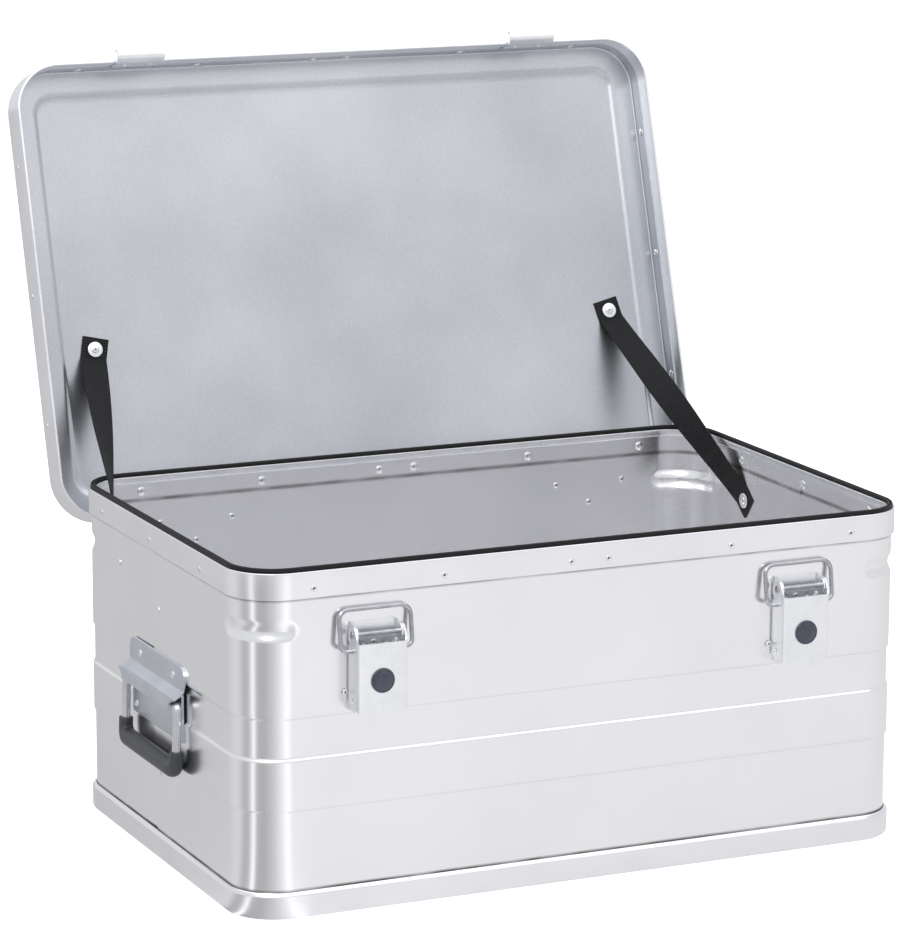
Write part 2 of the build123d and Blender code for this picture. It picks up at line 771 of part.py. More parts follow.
def handle_bracket(side):
    """Extruded bracket: two plates on the wall and a hooked ledge that holds the wire."""
    t = bracket_thickness
    upper = [(0, ledge_root_z - 3), (t, ledge_root_z - 3), (t, bracket_top), (0, bracket_top)]
    lower = [(0, bracket_bottom), (t, bracket_bottom), (t, ledge_root_z), (0, ledge_root_z)]
    ledge = [
        (t / 2, ledge_root_z - 2.2),
        (ledge_out - 2.0, ledge_lip_z - 2.0),
        (ledge_out - 2.0, lip_bottom),
        (ledge_out, lip_bottom),
        (ledge_out, ledge_lip_z),
        (ledge_out - 2.6, ledge_lip_z + 0.6),
        (t / 2, ledge_root_z + 1.0),
    ]
    shape = Part()
    for outline, half in ((upper, bracket_upper_half), (lower, bracket_lower_half), (ledge, ledge_half)):
        face = make_face(Polyline([at_side(side, out, 0, z) for out, z in outline], close=True))
        shape += extrude(face, half, both=True, dir=(0, 1, 0))
    for end in (-1, 1):
        trim = make_face(
            Polyline(
                [
                    (end * ledge_half, ledge_lip_z),
                    (end * lip_half, lip_cut_z),
                    (end * lip_half, lip_bottom - 1),
                    (end * (ledge_half + 9), lip_bottom - 1),
                    (end * (ledge_half + 9), ledge_lip_z),
                ],
                close=True,
            )
        )
        cut = extrude(Plane.YZ * trim, ledge_out + 1)
        cut = Pos(wall_x + t + 0.01, 0, 0) * cut
        shape -= cut if side == 1 else mirror(cut, Plane.YZ)
        corner = block((-far, far), (0, bracket_corner), (0, bracket_corner))
        corner -= rod((-far, 0, 0), (far, 0, 0), bracket_corner)
        corner = Pos(0, bracket_upper_half - bracket_corner, bracket_top - bracket_corner) * corner
        corner &= block((-far, far), (0, far), (0, far))
        shape -= corner if end == 1 else mirror(corner, Plane.XZ)
    return shape


lean = degrees(atan2(grip_radius + grip_gap - handle_pivot_out, handle_drop))


def leaned(side, shape):
    """Swing a handle piece from upright to where its grip rests near the wall."""
    pivot = Axis(at_side(side, handle_pivot_out, 0, handle_pivot_z), (0, side, 0))
    return shape.rotate(pivot, lean * -1)


def bend(side, y, z, step_y, step_z, first_across):
    """Quarter arc round a corner of the wire loop; y, z is the sharp corner."""
    slack_y = step_y * (1 - cos(radians(45)))
    slack_z = step_z * (1 - cos(radians(45)))
    ends = [at_side(side, handle_pivot_out, y + step_y, z), at_side(side, handle_pivot_out, y, z + step_z)]
    if not first_across:
        ends.reverse()
    return ThreePointArc(ends[0], at_side(side, handle_pivot_out, y + slack_y, z + slack_z), ends[1])


def handle_bail(side):
    """Closed wire loop, its top bar held under the ledge."""
    low = handle_pivot_z - handle_drop
    high = handle_pivot_z
    out = handle_pivot_out
    y = handle_leg_y
    top = handle_top_corner
    foot = handle_low_corner
    edges = [
        Line(at_side(side, out, 0, high), at_side(side, out, y - top, high)),
        bend(side, y, high, -top, -top, True),
        Line(at_side(side, out, y, high - top), at_side(side, out, y, low + foot)),
        bend(side, y, low, -foot, foot, False),
        Line(at_side(side, out, y - foot, low), at_side(side, out, foot - y, low)),
        bend(side, -y, low, foot, foot, True),
        Line(at_side(side, out, -y, low + foot), at_side(side, out, -y, high - top)),
        bend(side, -y, high, top, -top, False),
        Line(at_side(side, out, top - y, high), at_side(side, out, 0, high)),
    ]
    start = Plane(origin=at_side(side, out, 0, high), z_dir=(0, 1, 0))
    return leaned(side, sweep(start * Circle(handle_wire), path=Wire(edges)))


def handle_grip(side):
    """Moulded grip round the lower bar, with a thinner sleeve up each leg."""
    low = handle_pivot_z - handle_drop
    out = handle_pivot_out
    y = handle_leg_y
    foot = handle_low_corner
    edges = [
        bend(side, y, low, -foot, foot, False),
        Line(at_side(side, out, y - foot, low), at_side(side, out, foot - y, low)),
        bend(side, -y, low, foot, foot, True),
    ]
    start = Plane(origin=at_side(side, out, y, low + foot), z_dir=(0, 0, -1))
    shape = sweep(start * (Circle(grip_radius) - Circle(handle_wire)), path=Wire(edges))
    for end in (-1, 1):
        base = at_side(side, out, end * y, low + foot)
        tip = at_side(side, out, end * y, low + grip_sleeve_top)
        shape += rod(base, tip, grip_sleeve_radius) - rod(base, tip, handle_wire)
    return leaned(side, shape)


for name, side in sides:
    bracket_holes = [shank_hole(*place, bracket_grip) for place in handle_places]
    save(f"handle_bracket_{name}", [handle_bracket(side) - bracket_holes])
    save(f"handle_bail_{name}", [handle_bail(side)])
    save(f"handle_grip_{name}", [handle_grip(side)])
save("handle_rivets", [rivet(*place, bracket_grip, tail=handle_tail_radius) for place in handle_places])


# ---- check straps
def washer(point, outward, grip):
    """Flat washer between a strap rivet's head and the webbing."""
    start = Vector(*point)
    end = start - Vector(*outward) * washer_thickness
    return rod(start, end, washer_radius) - shank_hole(point, outward, grip)


def strap(side):
    """Webbing from the side wall to the lid: a flat tab at each end and a twisted run between."""
    low = Vector(side * (wall_x - sheet - strap_thickness / 2), lower_anchor_y, lower_anchor_z)
    high_z = panel_inside - strap_gap - strap_thickness / 2
    high = opened_point((side * upper_anchor_x, upper_anchor_y, high_z))
    low_normal = Vector(-side, 0, 0)
    high_normal = opened_point((0, 0, -1)) - opened_point((0, 0, 0))
    run = (high - low).normalized()
    low_dir = (run - low_normal * run.dot(low_normal)).normalized()
    high_dir = (run - high_normal * run.dot(high_normal)).normalized()
    near = washer_radius + 1
    tab = Box(near + strap_end, strap_width, strap_thickness)
    shift = (near - strap_end) / 2
    shape = Plane(origin=low, x_dir=low_dir, z_dir=low_normal) * Pos(shift, 0, 0) * tab
    shape += Plane(origin=high, x_dir=-high_dir, z_dir=high_normal) * Pos(shift, 0, 0) * tab
    start = low + low_dir * near
    end = high - high_dir * near
    reach = (end - start).normalized()
    across = reach.cross(low_normal)
    turn = atan2(high_normal.dot(across), high_normal.dot(low_normal - reach * reach.dot(low_normal)))
    sections = []
    for step in range(strap_steps + 1):
        share = step / strap_steps
        eased = share * share * (3 - 2 * share)
        rest = 1 - share
        lead = low_dir * rest**3 + reach * 3 * share * rest + high_dir * share**3
        lead = lead.normalized()
        normal = low_normal * cos(turn * eased) + across * sin(turn * eased)
        normal = (normal - lead * normal.dot(lead)).normalized()
        place = Plane(origin=start + (end - start) * share, x_dir=lead.cross(normal), z_dir=lead)
        sections.append(place * Rectangle(strap_width, strap_thickness))
    return shape + loft(sections, ruled=True)


strap_holes = [shank_hole(*place, strap_grip) for place in lower_strap_places]
loose_radius = shank_radius + strap_gap
strap_holes += [opened(shank_hole(*place, loose_grip, loose_radius)) for place in upper_strap_places]
for name, side in sides:
    save(f"lid_strap_{name}", [strap(side) - strap_holes])
save("strap_lower_washers", [washer(*place, strap_grip) for place in lower_strap_places])
save("strap_lower_rivets", [rivet(*place, strap_grip) for place in lower_strap_places])
save("strap_upper_washers", [opened(washer(*place, loose_grip)) for place in upper_strap_places])
save("strap_upper_rivets", [opened(rivet(*place, loose_grip)) for place in upper_strap_places])
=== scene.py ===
"""Looks of the open aluminium top case: rolled sheet, extruded rims, plated fittings and webbing.

Lengths in this file are millimetres in the frame of the part and turn to metres in add_piece.
"""

from math import atan2, cos, pi, radians, sin

import bmesh
import bpy
import numpy as np
from mathutils import Matrix, Vector
from mathutils.geometry import delaunay_2d_cdt


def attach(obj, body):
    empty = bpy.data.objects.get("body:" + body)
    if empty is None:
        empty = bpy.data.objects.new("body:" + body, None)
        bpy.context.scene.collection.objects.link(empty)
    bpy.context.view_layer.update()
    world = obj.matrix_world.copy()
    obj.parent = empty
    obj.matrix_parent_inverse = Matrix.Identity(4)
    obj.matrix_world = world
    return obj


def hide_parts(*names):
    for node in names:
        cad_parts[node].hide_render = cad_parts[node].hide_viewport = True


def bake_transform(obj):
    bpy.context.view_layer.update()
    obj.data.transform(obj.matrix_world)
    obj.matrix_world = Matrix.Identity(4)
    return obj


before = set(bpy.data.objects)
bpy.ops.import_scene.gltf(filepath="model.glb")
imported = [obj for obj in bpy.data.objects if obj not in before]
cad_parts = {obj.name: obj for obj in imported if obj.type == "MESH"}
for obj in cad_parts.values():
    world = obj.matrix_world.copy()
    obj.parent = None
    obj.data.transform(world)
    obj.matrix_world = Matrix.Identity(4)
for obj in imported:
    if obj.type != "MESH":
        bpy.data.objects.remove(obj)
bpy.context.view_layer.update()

MM = 0.001
TURN = 2 * pi

# ---- sizes shared with the part, in millimetres
HALF_X, HALF_Y, CORNER = 285.5, 185.25, 40.0
FLANGE, SHEET, STEP = 2.1, 1.0, 1.4
WALL_X, WALL_Y = HALF_X - FLANGE, HALF_Y - FLANGE
RIM_TOP, RIM_BOTTOM, HEAD_BOTTOM = 268.0, 247.4, 262.5
FOOT_TOP, BASE_TOP = 3.5, 20.4
LID_X, LID_Y, LID_CORNER = 291.0, 190.75, 39.0
LID_TOP, LID_BOTTOM = 273.5, 244.1
HINGE_Y, HINGE_Z, OPEN_ANGLE, HINGE_X = 187.1, 236.4, 107.3, 181.0
LATCH_X, PIN_OUT, PIN_Z = 180.7, 8.3, 217.4
SIDES = (("left", -1), ("right", 1))


# ------------------------------------------------------------------ shapes
def smooth_step(t):
    """3t^2 - 2t^3 between 0 and 1."""
    t = np.clip(t, 0, 1)
    return t * t * (3 - 2 * t)


def unit(v):
    """Vectors scaled to length 1."""
    v = np.asarray(v, float)
    return v / np.linalg.norm(v, axis=-1, keepdims=True)


def grid_faces(rows, columns, wrap_rows=False, wrap_columns=False):
    """Quads between the neighbours of a grid of points numbered row by row."""
    i = np.arange(rows if wrap_rows else rows - 1)[:, None]
    j = np.arange(columns if wrap_columns else columns - 1)[None, :]
    i2, j2 = (i + 1) % rows, (j + 1) % columns
    quads = np.stack([i * columns + j, i * columns + j2, i2 * columns + j2, i2 * columns + j], -1)
    return quads.reshape(-1, 4)


def grid_part(points, wrap_rows=False, wrap_columns=False, flip=False):
    """A grid of points (rows, columns, 3) as one part: points and faces."""
    rows, columns = points.shape[:2]
    quads = grid_faces(rows, columns, wrap_rows, wrap_columns)
    return points.reshape(-1, 3), (quads[:, ::-1] if flip else quads).tolist()


def rounded_run(half_x, half_y, radius, arc=24, ends=()):
    """Points and outward normals round a rounded rectangle, anticlockwise from the middle of +X.

    Each corner is centre + radius * (cos a, sin a) for a over a quarter turn; ends holds extra
    distances from each corner at which the straight sides get a point as well.
    """
    points, normals = [], []
    x, y = half_x - radius, half_y - radius
    centres = ((x, y), (-x, y), (-x, -y), (x, -y))
    near = np.array(sorted(ends))
    for k, centre in enumerate(centres):
        a = np.linspace(0, pi / 2, arc + 1) + k * pi / 2
        normal = np.stack([np.cos(a), np.sin(a)], -1)
        bend = np.array(centre) + radius * normal
        along_in = np.array([-sin(k * pi / 2), cos(k * pi / 2)])
        along_out = np.array([-cos(k * pi / 2), -sin(k * pi / 2)])
        before = bend[0] - along_in * near[::-1, None] if len(near) else np.zeros((0, 2))
        after = bend[-1] + along_out * near[:, None] if len(near) else np.zeros((0, 2))
        points += [before, bend, after]
        normals += [np.repeat(normal[:1], len(before), 0), normal, np.repeat(normal[-1:], len(after), 0)]
    return np.concatenate(points), np.concatenate(normals)


def round_corners(corners, radii, steps=5, closed=True):
    """A line whose corners are replaced by arcs that touch both sides; works in 2 or 3 dimensions."""
    corners = np.asarray(corners, float)
    count = len(corners)
    radii = np.broadcast_to(np.asarray(radii, float), (count,))
    out = []
    for k in range(count):
        here = corners[k]
        if radii[k] <= 0 or (not closed and k in (0, count - 1)):
            out.append(here[None])
            continue
        back, ahead = unit(corners[k - 1] - here), unit(corners[(k + 1) % count] - here)
        half = np.arccos(np.clip(back @ ahead, -1, 1)) / 2
        if half > pi / 2 - 0.02:
            out.append(here[None])
            continue
        reach = radii[k] / np.tan(half)
        middle = here + unit(back + ahead) * radii[k] / np.sin(half)
        start, end = here + back * reach, here + ahead * reach
        first, last = start - middle, end - middle
        span = pi - 2 * half
        t = np.linspace(0, 1, steps + 1)[:, None]
        out.append(middle + (np.sin((1 - t) * span) * first + np.sin(t * span) * last) / np.sin(span))
    return np.concatenate(out)


def swept_ring(outline, half_x, half_y, radius, arc=24):
    """A closed outline of (inward, height) carried round a rounded rectangle: p - n * inward."""
    outline = np.asarray(outline, float)
    run, normal = rounded_run(half_x, half_y, radius, arc)
    across = run[None] - normal[None] * outline[:, None, :1]
    height = np.broadcast_to(outline[:, None, 1:], across.shape[:2] + (1,))
    area = 0.5 * np.sum(
        outline[:, 0] * np.roll(outline[:, 1], -1) - np.roll(outline[:, 0], -1) * outline[:, 1]
    )
    return grid_part(np.concatenate([across, height], -1), True, True, flip=area > 0)


def turned(profile, places, sides=24):
    """Round pieces: (radius, height) turned about each place's axis, for all places at once."""
    profile = np.asarray(profile, float)
    a = np.linspace(0, TURN, sides, endpoint=False)
    ring = np.stack([np.cos(a), np.sin(a)], -1)
    local = np.concatenate(
        [
            profile[:, None, :1] * ring[None],
            np.broadcast_to(profile[:, None, 1:], (len(profile), sides, 1))
        ],
        -1
    )
    origin = np.array([p for p, n in places], float)
    axis = unit([n for p, n in places])
    helper = np.where(np.abs(axis[:, 2:]) > 0.9, [[1.0, 0, 0]], [[0, 0, 1.0]])
    across = unit(np.cross(helper, axis))
    basis = np.stack([across, np.cross(axis, across), axis], 1)
    points = np.einsum("kmc,ncd->nkmd", local, basis) + origin[:, None, None]
    quads = grid_faces(len(profile), sides, False, True)
    shift = np.arange(len(places))[:, None, None] * len(profile) * sides
    faces = (quads[None] + shift).reshape(-1, 4).tolist()
    rims = np.arange(sides)
    for n in range(len(places)):
        base = n * len(profile) * sides
        faces.append((base + rims[::-1]).tolist())
        faces.append((base + (len(profile) - 1) * sides + rims).tolist())
    return points.reshape(-1, 3), faces


def bar(line, radius, normal, sides=18, across=None, closed=False):
    """Round or oval bar: a ring about each point of a flat line, in the plane across the line."""
    line = np.asarray(line, float)
    if closed:
        ahead = unit(np.roll(line, -1, 0) - np.roll(line, 1, 0))
    else:
        ahead = unit(np.gradient(line, axis=0))
    normal = unit(normal)
    side = unit(np.cross(ahead, normal))
    radius = np.broadcast_to(np.asarray(radius, float), (len(line),))
    across = radius if across is None else np.broadcast_to(np.asarray(across, float), (len(line),))
    a = np.linspace(0, TURN, sides, endpoint=False)
    ring = (
        line[:, None]
        + across[:, None, None] * np.cos(a)[None, :, None] * side[:, None]
        + radius[:, None, None] * np.sin(a)[None, :, None] * normal
    )
    points, faces = grid_part(ring, closed, True, flip=True)
    if not closed:
        rims = np.arange(sides)
        faces += [rims.tolist(), (len(line) * sides - 1 - rims).tolist()]
    return points, faces


def distances(line):
    """Distance of each point of an open line from its start, measured along it."""
    return np.concatenate([[0], np.cumsum(np.linalg.norm(np.diff(line, axis=0), axis=1))])


def along_line(line, distance):
    """Point and left-hand normal at each distance along a flat 2D line of many short pieces."""
    reach = distances(line)
    point = np.stack([np.interp(distance, reach, line[:, k]) for k in (0, 1)], -1)
    ahead = unit(np.gradient(line, reach, axis=0))
    ahead = unit(np.stack([np.interp(distance, reach, ahead[:, k]) for k in (0, 1)], -1))
    return point, np.stack([-ahead[..., 1], ahead[..., 0]], -1)


def line_length(line):
    """Length of an open line, the sum of its pieces."""
    return float(np.linalg.norm(np.diff(line, axis=0), axis=1).sum())


def inside_polygon(points, polygon):
    """Which points are inside a polygon, by counting crossings."""
    x, y = points[:, 0:1], points[:, 1:2]
    x1, y1 = polygon[None, :, 0], polygon[None, :, 1]
    x2, y2 = np.roll(x1, -1, 1), np.roll(y1, -1, 1)
    crosses = ((y1 > y) != (y2 > y)) & (x < (x2 - x1) * (y - y1) / (y2 - y1 + 1e-12) + x1)
    return crosses.sum(1) % 2 == 1


def circle(x, y, radius, sides=20):
    """Points round a whole circle: centre + radius * (cos a, sin a)."""
    a = np.linspace(0, TURN, sides, endpoint=False)
    return np.stack([x + radius * np.cos(a), y + radius * np.sin(a)], -1)


def arc(x, y, radius, start, end, steps=8):
    """Points round a circle from one angle to another, in degrees."""
    a = np.radians(np.linspace(start, end, steps + 1))
    return np.stack([x + radius * np.cos(a), y + radius * np.sin(a)], -1)


def split_at(outline, positions, axis=0):
    """Adds a point wherever a closed outline's edge crosses one of the given coordinates."""
    out = []
    positions = np.asarray(list(positions), float)
    for a, b in zip(outline, np.roll(outline, -1, 0)):
        out.append(a)
        span = b[axis] - a[axis]
        if abs(span) > 1e-6 and len(positions):
            t = (positions - a[axis]) / span
            out += [a + (b - a) * k for k in np.sort(t[(t > 1e-3) & (t < 1 - 1e-3)])]
    return np.array(out)


def split_line(line, longest):
    """Divides the long pieces of an open line evenly."""
    out = [line[:1]]
    for a, b in zip(line[:-1], line[1:]):
        count = max(1, int(np.ceil(np.linalg.norm(b - a) / longest)))
        out.append(a + (b - a) * np.linspace(0, 1, count + 1)[1:, None])
    return np.concatenate(out)


def cut_sheet(outline, holes=(), bend_lines=()):
    """Flat pattern as triangles: an outline with holes, and points along every bend line.

    bend_lines are positions of the first coordinate at which the pattern gets a line of points.
    """
    outline = split_at(np.asarray(outline, float), bend_lines)
    loops = [outline] + [np.asarray(h, float) for h in holes]
    points = [tuple(p) for loop in loops for p in loop]
    edges, start = [], 0
    for loop in loops:
        n = len(loop)
        edges += [(start + k, start + (k + 1) % n) for k in range(n)]
        start += n
    low, high = outline[:, 1].min(), outline[:, 1].max()
    extra = np.array([(u, v) for u in bend_lines for v in np.arange(low + 0.37, high, 2.1)]).reshape(-1, 2)
    if len(extra):
        keep = inside_polygon(extra, outline)
        for hole in loops[1:]:
            keep &= ~inside_polygon(extra, hole)
        points += [tuple(p) for p in extra[keep]]
    result = delaunay_2d_cdt([Vector(p) for p in points], edges, [], 1, 1e-4)
    flat = np.array([tuple(v) for v in result[0]])
    triangles = np.array(result[2])
    middle = flat[triangles].mean(1)
    keep = inside_polygon(middle, outline)
    for hole in loops[1:]:
        keep &= ~inside_polygon(middle, hole)
    triangles = triangles[keep]
    a, b, c = (flat[triangles[:, k]] for k in range(3))
    turn = (b[:, 0] - a[:, 0]) * (c[:, 1] - a[:, 1]) - (b[:, 1] - a[:, 1]) * (c[:, 0] - a[:, 0])
    triangles = np.where((turn < 0)[:, None], triangles[:, ::-1], triangles)
    return flat, triangles


def sheet_part(flat, triangles, place, thickness):
    """Sheet metal: place(u, v, depth) puts the pattern's face at depth 0 and its back at thickness."""
    front = place(flat[:, 0], flat[:, 1], 0.0)
    back = place(flat[:, 0], flat[:, 1], thickness)
    count = len(flat)
    edges = np.concatenate([triangles[:, [0, 1]], triangles[:, [1, 2]], triangles[:, [2, 0]]])
    keys = {tuple(e) for e in edges.tolist()}
    rim = [e for e in keys if (e[1], e[0]) not in keys]
    faces = triangles.tolist() + (triangles[:, ::-1] + count).tolist()
    faces += [[e[1], e[0], e[0] + count, e[1] + count] for e in rim]
    return np.concatenate([front, back]), faces


def opened(points):
    """Turns points of the shut lid about the hinge line to where the lid rests open."""
    a = radians(-OPEN_ANGLE)
    y, z = points[..., 1] - HINGE_Y, points[..., 2] - HINGE_Z
    return np.stack(
        [points[..., 0], HINGE_Y + y * cos(a) - z * sin(a), HINGE_Z + y * sin(a) + z * cos(a)], -1
    )


def add_piece(
    name, parts, material, body, replaces=(), lid=False, sharp=38.0, bevel=0.0, uv=None, core=None
):
    """Joins parts into one mesh piece in metres, smooth but for edges sharper than the angle."""
    points, faces, start = [], [], 0
    for part_points, part_faces in parts:
        points.append(np.asarray(part_points, float))
        faces += [[v + start for v in face] for face in part_faces]
        start += len(part_points)
    points = np.concatenate(points)
    if lid:
        points = opened(points)
    mesh = bpy.data.meshes.new(name)
    mesh.from_pydata((points * MM).tolist(), [], faces)
    mesh.update()
    turn_outward(mesh)
    if uv is not None:
        layer = mesh.uv_layers.new(name="strap")
        corners = np.array([loop.vertex_index for loop in mesh.loops])
        layer.uv.foreach_set("vector", uv[corners].astype(np.float32).ravel())
    mesh.polygons.foreach_set("use_smooth", np.ones(len(mesh.polygons), bool))
    mesh.set_sharp_from_angle(angle=radians(sharp))
    mesh.materials.append(material)
    if core:
        mesh.materials.append(core)
        ends = np.array([p.loop_total > 4 for p in mesh.polygons])
        mesh.polygons.foreach_set("material_index", ends.astype(np.int32))
    piece = bpy.data.objects.new(name, mesh)
    bpy.context.scene.collection.objects.link(piece)
    if bevel:
        edge = piece.modifiers.new("edge", "BEVEL")
        edge.width, edge.segments, edge.angle_limit, edge.limit_method = bevel * MM, 2, radians(50), "ANGLE"
        edge.harden_normals = True
    if body:
        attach(piece, body)
    if replaces:
        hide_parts(*replaces)
    return piece


def turn_outward(mesh):
    """Makes every closed shell's faces point out of it."""
    work = bmesh.new()
    work.from_mesh(mesh)
    bmesh.ops.recalc_face_normals(work, faces=work.faces)
    work.to_mesh(mesh)
    work.free()


# ------------------------------------------------------------------ finishes
def linear(code, alpha=1.0):
    """sRGB hex to the linear colour that shaders use."""
    parts = [int(code[k : k + 2], 16) / 255 for k in (1, 3, 5)]
    return [c / 12.92 if c <= 0.04045 else ((c + 0.055) / 1.055) ** 2.4 for c in parts] + [alpha]


def add_node(tree, kind, settings=None, **inputs):
    """Adds a node; settings are its own choices, inputs are values or other nodes' outputs."""
    new = tree.nodes.new(kind)
    for key, value in (settings or {}).items():
        setattr(new, key, value)
    for key, value in inputs.items():
        socket = new.inputs[int(key[1:])] if key[0] == "_" else new.inputs[key.replace("_", " ")]
        if isinstance(value, bpy.types.NodeSocket):
            tree.links.new(value, socket)
        else:
            socket.default_value = value
    return new


def new_finish(name, **shader_values):
    """A material with a bare shader; returns the material, its node tree and the shader."""
    material = bpy.data.materials.new(name)
    material.use_nodes = True
    tree = material.node_tree
    shader = tree.nodes["Principled BSDF"]
    for key, value in shader_values.items():
        shader.inputs[key.replace("_", " ")].default_value = value
    return material, tree, shader


def metal_sheet(name, light, dark, rough, rough_spread, grain, grain_depth, patch_mm, bend_mm, bend_depth):
    """Bare metal: fine grain lines, slow changes of tone and gloss, and slight waviness.

    grain is the pitch of the lines in mm along X, Y and Z; patch_mm and bend_mm are the sizes of
    the cloudy patches and of the sheet's waviness.
    """
    material, tree, shader = new_finish(name, Metallic=1.0)
    where = add_node(tree, "ShaderNodeTexCoord").outputs["Object"]
    lines_at = add_node(tree, "ShaderNodeMapping", Vector=where, Scale=[1 / (g * MM) for g in grain])
    lines = add_node(
        tree, "ShaderNodeTexNoise", Vector=lines_at.outputs[0], Scale=1.0, Detail=2.0, Roughness=0.6
    )
    patches = add_node(
        tree, "ShaderNodeTexNoise", Vector=where, Scale=1 / (patch_mm * MM), Detail=3.0, Roughness=0.55
    )
    waves = add_node(tree, "ShaderNodeTexNoise", Vector=where, Scale=1 / (bend_mm * MM), Detail=1.0)
    both = add_node(
        tree, "ShaderNodeMix", {"data_type": "FLOAT"}, _0=0.35, _2=patches.outputs["Fac"],
        _3=lines.outputs["Fac"]
    )
    spread = add_node(tree, "ShaderNodeMapRange", Value=both.outputs[0], From_Min=0.32, From_Max=0.68)
    tone = add_node(
        tree, "ShaderNodeMix", {"data_type": "RGBA"}, _0=spread.outputs[0], _6=linear(dark),
        _7=linear(light)
    )
    gloss = add_node(
        tree, "ShaderNodeMapRange", Value=both.outputs[0], From_Min=0.3, From_Max=0.7,
        To_Min=rough - rough_spread, To_Max=rough + rough_spread
    )
    tree.links.new(tone.outputs[2], shader.inputs["Base Color"])
    tree.links.new(gloss.outputs[0], shader.inputs["Roughness"])
    wavy = add_node(
        tree, "ShaderNodeBump", Height=waves.outputs["Fac"], Distance=bend_depth * MM, Strength=1.0
    )
    scored = add_node(
        tree, "ShaderNodeBump", Height=lines.outputs["Fac"], Distance=grain_depth * MM, Strength=1.0,
        Normal=wavy.outputs[0]
    )
    tree.links.new(scored.outputs[0], shader.inputs["Normal"])
    return material, tree, shader


# Rolled aluminium sheet with its mill finish: a satin face with fine level rolling lines, which
# smear reflections upward, and faint cloudy patches.
rolled_sheet, tree, shader = metal_sheet(
    "rolled_aluminium_mill_finish", "#F9F9FA", "#F3F3F4", 0.21, 0.02, (60, 60, 0.5), 0.0002, 110, 300, 0.05
)
# Polishing grime and painted shade: a dark line is painted in the two joints where the sheet runs into the
# rim and the base, partly grime and partly the shade that falls in these joints.
where = add_node(tree, "ShaderNodeTexCoord").outputs["Object"]
level = add_node(tree, "ShaderNodeSeparateXYZ", Vector=where).outputs["Z"]
smudge_and_shade_noise = add_node(tree, "ShaderNodeTexNoise", Vector=where, Scale=1 / (35 * MM), Detail=2.0)
clean = tree.nodes["Principled BSDF"].inputs["Base Color"].links[0].from_socket
for joint, reach, strength in ((RIM_BOTTOM, 2.6, 0.7), (BASE_TOP, 2.4, 0.9)):
    gap = add_node(tree, "ShaderNodeMath", {"operation": "SUBTRACT"}, _0=level, _1=joint * MM)
    apart = add_node(tree, "ShaderNodeMath", {"operation": "ABSOLUTE"}, _0=gap.outputs[0])
    near = add_node(
        tree, "ShaderNodeMapRange", Value=apart.outputs[0], From_Min=0.3 * MM, From_Max=reach * MM,
        To_Min=strength, To_Max=0.0
    )
    share = add_node(
        tree, "ShaderNodeMapRange", Value=smudge_and_shade_noise.outputs["Fac"], From_Min=0.3, From_Max=0.6, To_Min=0.55,
        To_Max=1.0
    )
    amount = add_node(
        tree, "ShaderNodeMath", {"operation": "MULTIPLY"}, _0=near.outputs[0], _1=share.outputs[0]
    )
    # The dark colour mixed in here is partly grime and partly painted shade in the joint.
    grime_and_painted_shade = add_node(
        tree, "ShaderNodeMix", {"data_type": "RGBA"}, _0=amount.outputs[0], _6=clean, _7=linear("#2A2826")
    )
    clean = grime_and_painted_shade.outputs[2]
tree.links.new(clean, shader.inputs["Base Color"])

# The lid's sheet is softer and duller: a fine mottle all over under broad blue-grey clouds.
lid_sheet, tree, shader = metal_sheet(
    "rolled_aluminium_mottled", "#D3D5D9", "#B8BBC1", 0.33, 0.05, (1.6, 1.6, 1.6), 0.004, 190, 400, 0.14
)

# Extruded aluminium: as bright as the sheet and a little less glossy, with level die lines.
extruded, tree, shader = metal_sheet(
    "extruded_aluminium", "#FAFAFC", "#F0F1F4", 0.25, 0.03, (60, 60, 0.6), 0.002, 60, 200, 0.05
)

# The handle brackets are extruded and dull, a shade bluer than the sheet.
bracket_finish, tree, shader = metal_sheet(
    "extruded_aluminium_brackets", "#D5D9DF", "#C4C8CE", 0.34, 0.04, (60, 60, 0.7), 0.006, 30, 120, 0.05
)

# Aluminium rivets are pressed bright by the tool, with small scuffs.
rivet_finish, tree, shader = metal_sheet(
    "pressed_aluminium_rivets", "#F4F4F5", "#E0E1E3", 0.17, 0.04, (1.5, 1.5, 1.5), 0.02, 5, 20, 0.02
)

# The steel left in the drilled ends of the rivets: dull grey beside the aluminium.
mandrel_steel, tree, shader = metal_sheet(
    "phosphated_steel_mandrels", "#8C8A88", "#666462", 0.45, 0.05, (1.5, 1.5, 1.5), 0.01, 5, 20, 0.02
)

# Zinc plate on pressed steel: cool, slightly blue, softly bright.
zinc_plate, tree, shader = metal_sheet(
    "zinc_plated_pressed_steel", "#FAFBFC", "#EFF1F3", 0.36, 0.03, (1.2, 1.2, 6), 0.001, 14, 60, 0.01
)

# Nickel plate on drawn wire: near mirror bright, a shade darker than the zinc.
nickel_wire, tree, shader = metal_sheet(
    "nickel_plated_wire", "#C4C4C8", "#A8A8AE", 0.13, 0.04, (2, 2, 2), 0.004, 12, 40, 0.02
)

# Zinc plate on thick handle wire: light and satin.
handle_wire, tree, shader = metal_sheet(
    "zinc_plated_handle_wire", "#E4E5E7", "#CDCFD2", 0.30, 0.05, (2, 2, 8), 0.006, 14, 40, 0.03
)


def dull_finish(name, light, dark, rough, pitch_mm, depth_mm, **shader_values):
    """Plastic or rubber: two close tones and a fine pebbled surface of the given pitch."""
    material, tree, shader = new_finish(name, Roughness=rough, **shader_values)
    where = add_node(tree, "ShaderNodeTexCoord").outputs["Object"]
    pebble = add_node(
        tree, "ShaderNodeTexNoise", Vector=where, Scale=1 / (pitch_mm * MM), Detail=3.0, Roughness=0.6
    )
    tone = add_node(
        tree, "ShaderNodeMix", {"data_type": "RGBA"}, _0=pebble.outputs["Fac"], _6=linear(dark),
        _7=linear(light)
    )
    tree.links.new(tone.outputs[2], shader.inputs["Base Color"])
    bump = add_node(
        tree, "ShaderNodeBump", Height=pebble.outputs["Fac"], Distance=depth_mm * MM, Strength=1.0
    )
    tree.links.new(bump.outputs[0], shader.inputs["Normal"])
    return material, tree, shader


